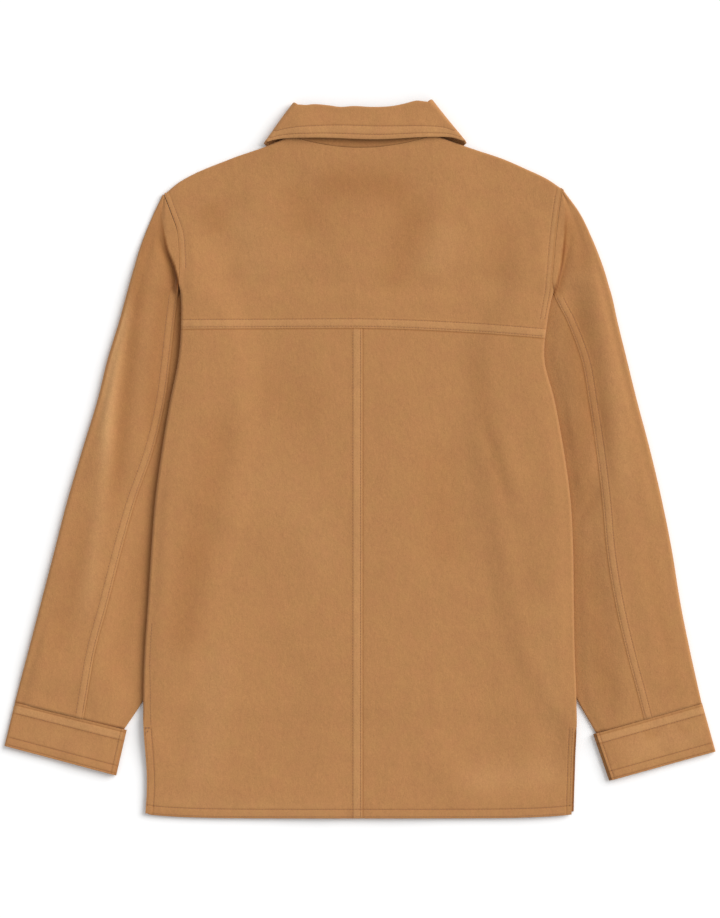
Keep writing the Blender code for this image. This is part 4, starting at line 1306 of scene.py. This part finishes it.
def suede_material(name, colour, shift):
    """Brushed suede: mottled nap at several scales, with the painted shade and light of its tone attribute,
    redder and deeper where darker, and a soft sheen.
    """
    nodes = Nodes(name)
    place = nodes.mapped(nodes.place(), Location=shift)
    brushed = nodes.mapped(place, Scale=BRUSHING)
    level = 1.0
    for scale, detail, amount in SUEDE_LAYERS:
        part = nodes.scaled(nodes.noise(brushed, scale, detail), amount * 2, -amount)
        level = nodes.math("ADD", part, level)
    tone = nodes.add("ShaderNodeAttribute", attribute_name="tone").outputs["Fac"]
    tone = nodes.scaled(tone, TONE_REACH, 1.0)
    level = nodes.math("MULTIPLY", level, nodes.math("MAXIMUM", tone, DARKEST_TONE))
    hue = nodes.scaled(nodes.noise(place, *WARMTH_NOISE), WARMTH_REACH, 0.5 - TONE_HUE - WARMTH_REACH / 2)
    hue = nodes.math("ADD", hue, nodes.math("MULTIPLY", tone, TONE_HUE))
    depth = nodes.scaled(tone, -TONE_DEPTH, 1.0 + TONE_DEPTH)
    links = {"Hue": hue, "Saturation": depth, "Color": nodes.tinted(colour, level)}
    nodes.set("Base Color", nodes.add("ShaderNodeHueSaturation", links).outputs["Color"])
    nodes.set("Roughness", nodes.scaled(nodes.noise(place, 400, 2.0), 0.16, 0.80))
    nodes.set("Specular IOR Level", 0.12)
    nodes.set("Sheen Weight", 0.30)
    nodes.set("Sheen Roughness", 0.55)
    nodes.set("Sheen Tint", SHEEN)
    nap = nodes.scaled(nodes.noise(place, 2600, 2.0), 0.35, nodes.noise(brushed, 620, 3.0))
    nap = nodes.scaled(nodes.noise(brushed, 170, 2.0), 1.6, nap)
    nodes.bump(nap, 0.55, 0.00045)
    return nodes.material


def thread_material():
    """Twisted thread: fine bands along each stitch."""
    nodes = Nodes("thread")
    links = {"Vector": nodes.place(), "Scale": 900.0, "Distortion": 3.0}
    bands = nodes.add("ShaderNodeTexWave", links).outputs["Fac"]
    nodes.set("Base Color", nodes.tinted(THREAD, nodes.scaled(bands, 0.25, 0.85)))
    nodes.set("Roughness", 0.65)
    nodes.set("Sheen Weight", 0.2)
    nodes.bump(bands, 0.4, 0.0001)
    return nodes.material


def horn_material():
    """Polished horn: cloudy brown with darker streaks."""
    nodes = Nodes("horn")
    stretched = nodes.mapped(nodes.place(), Scale=(1.0, 0.35, 1.0))
    clouds = nodes.noise(stretched, 260, 4.0, 0.6)
    ramp = nodes.add("ShaderNodeValToRGB", {"Fac": clouds})
    for stop, position, colour in zip(ramp.color_ramp.elements, (0.34, 0.66), (DARK_HORN, HORN)):
        stop.position = position
        stop.color = (*colour, 1.0)
    nodes.set("Base Color", ramp.outputs["Color"])
    nodes.set("Roughness", nodes.scaled(clouds, 0.15, 0.26))
    return nodes.material


def suede(piece_name):
    """A suede material for a piece. Each piece of cloth was cut from another place of the skin."""
    number = sum(map(ord, piece_name))
    shift = (0.37 * (number % 7), 0.53 * (number % 5), 0.29 * (number % 3))
    return suede_material("suede_" + piece_name, SUEDE, shift)


def placed(name, data):
    """A new object in the scene."""
    made = bpy.data.objects.new(name, data)
    bpy.context.scene.collection.objects.link(made)
    return made


def cloth(name, x, y, z, thickness, tone):
    """A sheet of cloth from arrays of points on its middle surface, thickened both ways."""
    rows, columns = x.shape
    points = np.stack((x, y, z), axis=-1).reshape(-1, 3)
    index = np.arange(rows * columns).reshape(rows, columns)
    corners = (index[:-1, :-1], index[:-1, 1:], index[1:, 1:], index[1:, :-1])
    faces = np.stack(corners, axis=-1).reshape(-1, 4)
    mesh = bpy.data.meshes.new(name)
    mesh.from_pydata(points.tolist(), [], faces.tolist())
    mesh.shade_smooth()
    mesh.attributes.new("tone", "FLOAT", "POINT").data.foreach_set("value", tone.reshape(-1))
    mesh.materials.append(suede(name))
    made = placed(name, mesh)
    wall = made.modifiers.new("wall", "SOLIDIFY")
    wall.thickness = thickness
    wall.offset = 0.0
    return made


def declare(name, made):
    """Declares a sheet of cloth in place of the node of that name."""
    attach(made, "root")
    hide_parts(name)


# Where a panel's rows and columns lie: dense at its seams and grooves, and even in the open between.
CENTRE_NEAR = millimetres(
    0, 0.4, 0.8, 1.3, 1.8, 2.4, 3, 3.6, 5, 7, 8.6, 9.4, 9.9, 10.4, 10.9, 11.5, 12.4, 13.5, 15
)
SIDE_FAR = millimetres(15, 12.5, 10.5, 9.3, 8.6, 8, 7.4, 6.9, 6.4, 5.8, 5, 4, 3, 2.2, 1.6, 1.1, 0.6, 0.3, 0)
HEM_ROWS = millimetres(0, 0.5, 1, 1.8, 3, 5, 7, 8, 8.7, 9.2, 9.6, 10, 10.6, 11.5, 13, 15)
SEAM_ROWS = millimetres(12, 9, 6.5, 4.5, 3.2, 2.4, 1.7, 1.1, 0.6, 0.3, 0)
YOKE_ROWS = millimetres(
    0, 0.4, 0.8, 1.2, 1.7, 2.2, 2.7, 3.4, 5, 7, 8.6, 9.4, 9.8, 10.2, 10.7, 11.3, 12.2, 13.5, 15
)
SHOULDER_ROWS = millimetres(9, 6, 4, 2.5, 1.2, 0)
PLACKET_NEAR = millimetres(0, 0.6, 1.2, 2, 2.8, 4, 8, 14, 20, 26, 30, 31.2, 32, 32.8, 34, 38)
FRONT_FAR = millimetres(12, 8, 5, 3, 1.5, 0)
STRIP_STEPS = millimetres(
    0, 0.4, 0.8, 1.2, 1.7, 2.2, 2.7, 3.4, 4.6, 6.2, 7.6, 8.3, 8.7, 9, 9.4, 9.9, 10.7, 11.8, 13
)
DITCH_STEPS = millimetres(0, 0.4, 0.8, 1.4, 2.1, 3, 4.2, 6)
YOKE_COUNTS = (46, 58)
BACK_COUNTS = (140, 54)
FRONT_COUNTS = (128, 42)
SLEEVE_COUNT = 30
UPPER_ROWS = np.linspace(TIP_SHARE, 1.0, 181)
UNDER_ROWS = np.linspace(CAP_SHARE, 1.0, 147)
PLACKET_GROOVES = (0.0020, 0.0320)
# How dark the painted shade is on the right front's sliver beside the vent.
FRONT_SLIVER_PAINTED_SHADE = 0.65


def shoulder_room(x, height, other):
    """How far below the shoulder line a panel turns over it, to meet the other panel halfway."""
    return CLOTH / 2 + (back_form(x, height) - other(x, height)) / 2


def front_below(x, y):
    """Middle height of whichever front lies under a place."""
    return np.where(x >= 0, front_layer(x, y, 1), front_layer(x, y, -1))


def yoke():
    row_count, column_count = YOKE_COUNTS

    def low(x):
        return YOKE_LINE(x) + VISIBLE_GAP / 2

    def high(x):
        top = top_line(x, NECK_BACK_HEIGHT, 2)
        return top - shoulder_room(x, top, front_below)

    heights = row_heights(low, high, YOKE_ROWS, row_count, SHOULDER_ROWS)
    left, right = (
        half_body(side, heights, back_surface, -1, 0.0, [0.0], SIDE_FAR, column_count) for side in SIDES
    )
    x, y, z = (np.concatenate((a[:, :0:-1], b), axis=1) for a, b in zip(left, right))
    tone = back_tone(x, y)
    x, y, z = shoulder_turn(x, y, z, front_below, -1)
    tone = np.concatenate((tone, 0.0 * x[len(tone):]))
    made = cloth("suede_yoke", x, y, z, CLOTH, tone)
    declare("yoke", made)


def back_panel(side):
    row_count, column_count = BACK_COUNTS

    def high(x):
        return YOKE_LINE(x) - VISIBLE_GAP / 2

    heights = row_heights(hem_line, high, HEM_ROWS, row_count, SEAM_ROWS)
    inner = side.sign * CENTRE_BACK_OUT + VISIBLE_GAP / 2
    x, y, z = half_body(side, heights, back_surface, -1, inner, CENTRE_NEAR, SIDE_FAR, column_count)
    tone = back_tone(x, y)
    if side is RIGHT:
        at_vent = ease((VENT_TOP - y) / VENT_RAMP) * ease((x - body_out(side, y)) / 0.006 + 1)
        x = x - VENT_SLIVER * at_vent
    made = cloth("suede_back_" + side.name, x, y, z, CLOTH, tone)
    declare("back_" + side.name, made)


def front_panel(side):
    row_count, column_count = FRONT_COUNTS
    layer = front_surface(side)

    def low(x):
        return hem_line(x) + FRONT_HEM_RISE

    def high(x):
        top = top_line(x, NECK_FRONT_HEIGHT, NECK_FRONT_POWER)
        return top - shoulder_room(x, top, layer)

    def surface(x, y):
        from_end = x * side.sign + LAP
        lift = -groove(from_end, PLACKET_GROOVES[0]) - groove(from_end, PLACKET_GROOVES[1])
        return layer(x, y) + lift - groove(y - hem_line(x) - FRONT_HEM_RISE, HEM_GROOVE)

    heights = row_heights(low, high, HEM_ROWS, row_count, SHOULDER_ROWS)
    x, y, z = half_body(side, heights, surface, 1, -LAP, PLACKET_NEAR, FRONT_FAR, column_count)
    from_end, from_hem = x * side.sign + LAP, y - hem_line(x) - FRONT_HEM_RISE
    tone = groove_painted_shade(from_hem, HEM_GROOVE)
    for at in PLACKET_GROOVES:
        tone = tone + groove_painted_shade(from_end, at)
    # On the right, painted shade on the sliver of the front that shows beside the back at the vent.
    if side is RIGHT:
        at_vent = ease((VENT_TOP - y) / VENT_RAMP) * ease((x - body_out(side, y)) / 0.004 + 1)
        tone = tone - FRONT_SLIVER_PAINTED_SHADE * at_vent
    x, y, z = shoulder_turn(x, y, z, back_form, 1)
    tone = np.concatenate((tone, 0.0 * x[len(tone):]))
    made = cloth("suede_front_" + side.name, x, y, z, CLOTH, tone)
    declare("front_" + side.name, made)


def sleeve_piece(side, part, make_grid, rows, steps):
    """One part of a sleeve. Its lower layer, which nobody sees, has no tone."""
    x, y, z = make_grid(side, rows, steps, SLEEVE_COUNT)
    top = np.arange(x.shape[1]) < len(steps) + SLEEVE_COUNT
    tone = np.where(top[None, :], sleeve_tone(side, abs(x), y), 0.0)
    return cloth("suede_sleeve_" + part + "_" + side.name, x, y, z, CLOTH, tone)


def sleeve(side):
    made = sleeve_piece(side, "upper", sleeve_upper_grid, UPPER_ROWS, STRIP_STEPS)
    declare("sleeve_upper_" + side.name, made)
    made = sleeve_piece(side, "under", sleeve_under_grid, UNDER_ROWS, DITCH_STEPS)
    declare("sleeve_under_" + side.name, made)


def cuff(side):
    x, y, z, tone = cuff_grid(side)
    made = cloth("suede_cuff_" + side.name, x, y, z, CUFF_CLOTH, tone)
    declare("cuff_" + side.name, made)


def collar():
    x, y, z, tone = collar_grid(fall_row)
    made = cloth("suede_collar_fall", x, y, z, COLLAR_CLOTH, tone)
    declare("collar_fall", made)
    x, y, z, tone = collar_grid(stand_row)
    made = cloth("suede_collar_stand", x, y, z, STAND_CLOTH, tone)
    declare("collar_stand", made)


# Stage, light and camera.
FLOOR = (0.97, 0.97, 0.97, 1.0)
VIEW_DISTANCE = 4.0
VIEW_HEIGHT = 0.9731
SENSOR = 36.0
WORLD_STRENGTH = 0.58
KEY_DIRECTION = (0.72, 0.46, 0.62)
KEY_SPREAD = 46.0
KEY_POWER = 2.75


def floor():
    mesh = bpy.data.meshes.new("floor")
    mesh.from_pydata([(-4, -4, 0), (4, -4, 0), (4, 4, 0), (-4, 4, 0)], [], [(0, 1, 2, 3)])
    made = placed("floor", mesh)
    made.location.z = CAD_LOW - 0.0002
    nodes = Nodes("floor")
    nodes.set("Base Color", FLOOR)
    nodes.set("Roughness", 0.9)
    nodes.set("Specular IOR Level", 0.1)
    mesh.materials.append(nodes.material)


def sun():
    """A wide soft key from the upper right, as even over the whole jacket as a far window."""
    lamp = bpy.data.lights.new("key", "SUN")
    lamp.energy = KEY_POWER
    lamp.angle = math.radians(KEY_SPREAD)
    made = placed("key", lamp)
    towards = Vector(KEY_DIRECTION).normalized()
    made.location = towards * 3
    made.rotation_euler = towards.to_track_quat("Z", "Y").to_euler()


def studio():
    world = bpy.data.worlds.new("studio")
    bpy.context.scene.world = world
    world.use_nodes = True
    background = world.node_tree.nodes["Background"]
    background.inputs["Color"].default_value = (1.0, 1.0, 1.0, 1.0)
    background.inputs["Strength"].default_value = WORLD_STRENGTH
    sun()
    bpy.context.scene.view_settings.view_transform = "Standard"
    lens = bpy.data.cameras.new("camera")
    lens.sensor_width = SENSOR
    lens.lens = SENSOR * VIEW_DISTANCE / VIEW_HEIGHT
    lens.clip_end = 50.0
    lens.dof.use_dof = False
    made = placed("camera", lens)
    made.location = (*CENTRE, VIEW_DISTANCE)
    bpy.context.scene.camera = made


# Stitches: low capsules of thread that lie in the grooves.
STITCH_PITCH = 0.0031
STITCH_LENGTH = 0.0023
THREAD_RADIUS = 0.00026
THREAD_SINK = 0.4
THREAD_FLATNESS = 0.6
THREAD_SIDES = 6
THREAD_RINGS = ((0.0, 0.15), (0.10, 0.80), (0.5, 1.0), (0.90, 0.80), (1.0, 0.15))
EDGE_ROW = 0.0019
TACK_LENGTH = {"left": 0.0068, "right": 0.0045}


def thread_rise(thickness):
    """How far a thread's middle lies over the middle of the cloth."""
    return thickness / 2 + THREAD_SINK * THREAD_RADIUS


def run_points(across, along, surface):
    """Points of a stitch line on the cloth's upper face, from x and y arrays and the surface's height."""
    x, y = np.broadcast_arrays(np.asarray(across, float), np.asarray(along, float))
    return np.stack((x, y, surface(x, y) + thread_rise(CLOTH)), axis=1)


def stitch_ends(points, pitch=STITCH_PITCH):
    """Start and end of each stitch along a run."""
    steps = np.linalg.norm(np.diff(points, axis=0), axis=1)
    at = np.concatenate(([0.0], np.cumsum(steps)))
    starts = np.arange(0.3 * pitch, at[-1] - STITCH_LENGTH, pitch)
    ends = starts + STITCH_LENGTH
    return [np.stack([np.interp(where, at, axis) for axis in points.T], axis=1) for where in (starts, ends)]


def ring_faces(start, rings, turns):
    """Four-sided faces between rings of points that follow each other."""
    faces = []
    for ring in range(rings - 1):
        for k in range(turns):
            a = start + ring * turns + k
            b = start + ring * turns + (k + 1) % turns
            faces.append((a, b, b + turns, a + turns))
    return faces


def stitches(name, runs, thread):
    """One joined mesh of all the stitches along the runs."""
    starts, ends = (np.concatenate(part) for part in zip(*(stitch_ends(run) for run in runs)))
    run = ends - starts
    length = np.linalg.norm(run, axis=1, keepdims=True)
    forward = run / length
    sideways = np.cross(forward, [0.0, 0.0, 1.0])
    sideways = sideways / np.linalg.norm(sideways, axis=1, keepdims=True)
    upward = np.cross(sideways, forward)
    rings = []
    for along, swell in THREAD_RINGS:
        for k in range(THREAD_SIDES):
            angle = 2 * math.pi * k / THREAD_SIDES
            off = sideways * math.cos(angle) + upward * math.sin(angle) * THREAD_FLATNESS
            rings.append(starts + run * along + off * THREAD_RADIUS * swell)
    points = np.stack(rings, axis=1)
    count, per = points.shape[:2]
    faces = np.array(ring_faces(0, len(THREAD_RINGS), THREAD_SIDES))
    every = (faces[None] + per * np.arange(count)[:, None, None]).reshape(-1, 4)
    mesh = bpy.data.meshes.new(name)
    mesh.from_pydata(points.reshape(-1, 3).tolist(), [], every.tolist())
    mesh.shade_smooth()
    mesh.materials.append(thread)
    made = placed(name, mesh)
    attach(made, "root")
    return made


def levels(start, end, step=0.004):
    """Values from start to end, about one step apart."""
    return np.linspace(start, end, max(2, int(abs(end - start) / step)))


def back_runs():
    """Stitch lines of the yoke, the centre back, the armholes, the hem and the vents."""
    runs = []
    out_left, out_right = (float(body_out(side, 0.14)) - 0.002 for side in (LEFT, RIGHT))
    across = levels(-out_left, out_right)
    for at in YOKE_GROOVES:
        runs.append(run_points(across, YOKE_LINE(across) + at, back_surface))
    low, high = HEM_HEIGHT + 0.001, float(YOKE_LINE(0.0)) - 0.0005
    along = levels(low, high)
    for at in CENTRE_GROOVES:
        runs.append(run_points(CENTRE_BACK_OUT - at + 0 * along, along, back_surface))
    for side in SIDES:
        along = levels(side.shoulder[-1][1] - 0.006, side.armhole_end[1] + 0.003)
        for at in ARMHOLE_GROOVES:
            out = armhole_out(side, along) - at
            runs.append(run_points(side.sign * out, along, back_surface))
        along = levels(VENT_TOP, HEM_HEIGHT + HEM_GROOVE + 0.002)
        sliver = VENT_SLIVER if side is RIGHT else 0.0
        for at in (EDGE_ROW + sliver, VENT_GROOVE):
            out = body_out(side, along) - at
            runs.append(run_points(side.sign * out, along, back_surface))
        for drop in (0.0, 0.0005, 0.0010):
            tack = levels(0.0004 + sliver, TACK_LENGTH[side.name], 0.001)
            out = float(body_out(side, VENT_TOP)) - tack
            runs.append(run_points(side.sign * out, VENT_TOP - drop + 0 * tack, back_surface))
    slant = levels(0.0, 1.0, 0.2)
    for drop in (0.0, 0.0007):
        out = float(body_out(LEFT, VENT_TOP)) - mix(0.0005, TACK_LENGTH["left"], slant)
        height = mix(VENT_TOP - 0.0075, VENT_TOP - 0.0015, slant) - drop
        runs.append(run_points(-out, height, back_surface))
    along = levels(-0.173, VENT_TOP)
    out = body_out(LEFT, along) - mix(0.0062, VENT_GROOVE, ease((-0.20 - along) / 0.06))
    runs.append(run_points(-out, along, back_surface))
    out_left, out_right = (float(body_out(side, HEM_HEIGHT)) - VENT_GROOVE for side in (LEFT, RIGHT))
    across = levels(-out_left, out_right)
    for at in (EDGE_ROW, HEM_GROOVE):
        runs.append(run_points(across, hem_line(across) + at, back_surface))
    return runs


def sleeve_runs(side):
    """Stitch lines of a sleeve's back seam, where the body leaves it in sight."""
    def surface(x, y):
        return sleeve_surface(side, abs(x), y)

    runs = []
    along = levels(side.cap_end - 0.012, side.cuff.inner_top[1] + 0.016)
    for at in SLEEVE_GROOVES:
        out = SEAM[side.name](along) + at
        shown = out > FOLD[side.name](along) + 0.001
        runs.append(run_points(side.sign * out[shown], along[shown], surface))
    return runs


def cuff_runs(side):
    """Stitch lines of a cuff: below its top seam, above its lower edge and beside its inner end."""
    runs = []
    length, depth = cuff_size(side)

    def lay(across, down):
        x, y = on_cuff(side, across, down)
        return np.stack((x, y, cuff_surface(side, across, down) + thread_rise(CUFF_CLOTH)), axis=1)

    across = np.linspace(0.03, 0.985, 30)
    for at in CUFF_TOP_GROOVES[1:] + tuple(depth - at for at in CUFF_LOW_GROOVES):
        runs.append(lay(across, at / depth + 0 * across))
    down = np.linspace(0.05, 0.95, 12)
    runs.append(lay(1 - CUFF_END_GROOVE / length + 0 * down, down))
    return runs


# The collar's seams show on its back and on the upper part of the turns at its ends.
STITCHED_SECTIONS = 50


def collar_runs():
    """Stitch lines along the fall's edge, over its back."""
    runs = []
    for at in FALL_GROOVES:
        points = []
        for side in SIDES:
            half = []
            for top, edge, _, angle, facing in collar_sections(side, *COLLAR_STEPS)[:STITCHED_SECTIONS]:
                length = math.hypot(top[0] - edge[0], top[1] - edge[1])
                share = at / length
                base = (mix(edge[0], top[0], share), mix(edge[1], top[1], share))
                reach = fall_reach(side, base, share, angle, length) + thread_rise(COLLAR_CLOTH)
                half.append(collar_point(side, base, facing, angle, reach))
            points = half[:0:-1] if side is LEFT else points + half
        runs.append(np.array(points))
    return runs


# Buttons: a rim, a dished face and four holes. The face looks down. Sizes are shares of the radius,
# and depths are shares of the thickness.
BUTTON_RING_STEPS = (
    0.0, 0.06, 0.12, 0.16, 0.20, 0.24, 0.28, 0.32, 0.36, 0.40, 0.46, 0.54, 0.62, 0.70, 0.78, 0.86,
    0.93, 0.98, 1.0,
)
BUTTON_TURNS = 48
RIM_START = 0.90
RIM_DROP = 0.26
DISH_OUT = 0.60
DISH_WIDTH = 0.16
DISH_DEPTH = 0.16
MIDDLE_SHARE = 0.5
MIDDLE_DEPTH = 0.10
HOLE_OUT = 0.27
HOLE_RADIUS = 0.085
HOLE_DEPTH = 0.30
HOLE_ANGLES = (45, 135, 225, 315)


def button_level(share, face):
    """Height of a button's face over its middle plane, without its holes."""
    level = 0.5 - RIM_DROP * float(ease((share - RIM_START) / (1 - RIM_START)))
    if face < 0:
        level -= DISH_DEPTH * float(bump((share - DISH_OUT) / DISH_WIDTH))
        level -= MIDDLE_DEPTH * (share < MIDDLE_SHARE)
    return level


def button(node, horn):
    low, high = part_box(node)
    middle = [(a + b) / 2 for a, b in zip(low, high)]
    radius, thick = (high[0] - low[0]) / 2, high[2] - low[2]
    turns = [math.radians(angle) for angle in HOLE_ANGLES]
    holes = [(HOLE_OUT * math.cos(turn), HOLE_OUT * math.sin(turn)) for turn in turns]
    points = []
    for face in (-1, 1):
        for share in BUTTON_RING_STEPS:
            for k in range(BUTTON_TURNS):
                angle = 2 * math.pi * k / BUTTON_TURNS
                u, v = share * math.cos(angle), share * math.sin(angle)
                hole = max(float(bump(math.hypot(u - a, v - b) / HOLE_RADIUS)) for a, b in holes)
                up = face * thick * (button_level(share, face) - HOLE_DEPTH * hole)
                points.append((middle[0] + radius * u, middle[1] + radius * v, middle[2] + up))
    rings = len(BUTTON_RING_STEPS)
    edge = (rings - 1) * BUTTON_TURNS
    other = edge + rings * BUTTON_TURNS
    faces = ring_faces(0, rings, BUTTON_TURNS)
    faces += [quad[::-1] for quad in ring_faces(rings * BUTTON_TURNS, rings, BUTTON_TURNS)]
    for k in range(BUTTON_TURNS):
        after = (k + 1) % BUTTON_TURNS
        faces.append((edge + k, edge + after, other + after, other + k))
    mesh = bpy.data.meshes.new("horn_" + node)
    mesh.from_pydata(points, [], faces)
    bm = bmesh.new()
    bm.from_mesh(mesh)
    bmesh.ops.remove_doubles(bm, verts=bm.verts, dist=1e-7)
    bmesh.ops.recalc_face_normals(bm, faces=bm.faces)
    bm.to_mesh(mesh)
    bm.free()
    mesh.shade_smooth()
    mesh.materials.append(horn)
    made = placed("horn_" + node, mesh)
    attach(made, "root")
    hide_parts(node)
    return made


box_low, box_high = (list(corner) for corner in CAD_BOX)
CAD_LOW = box_low[2]
CENTRE = [(a + b) / 2 for a, b in zip(box_low[:2], box_high[:2])]
yoke()
for side in SIDES:
    back_panel(side)
    front_panel(side)
    sleeve(side)
    cuff(side)
collar()
thread = thread_material()
stitches("stitches_back", back_runs(), thread)
for side in SIDES:
    stitches("stitches_sleeve_" + side.name, sleeve_runs(side), thread)
    stitches("stitches_cuff_" + side.name, cuff_runs(side), thread)
stitches("stitches_collar", collar_runs(), thread)
horn = horn_material()
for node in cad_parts:
    if node.startswith("button"):
        button(node, horn)
floor()
studio()
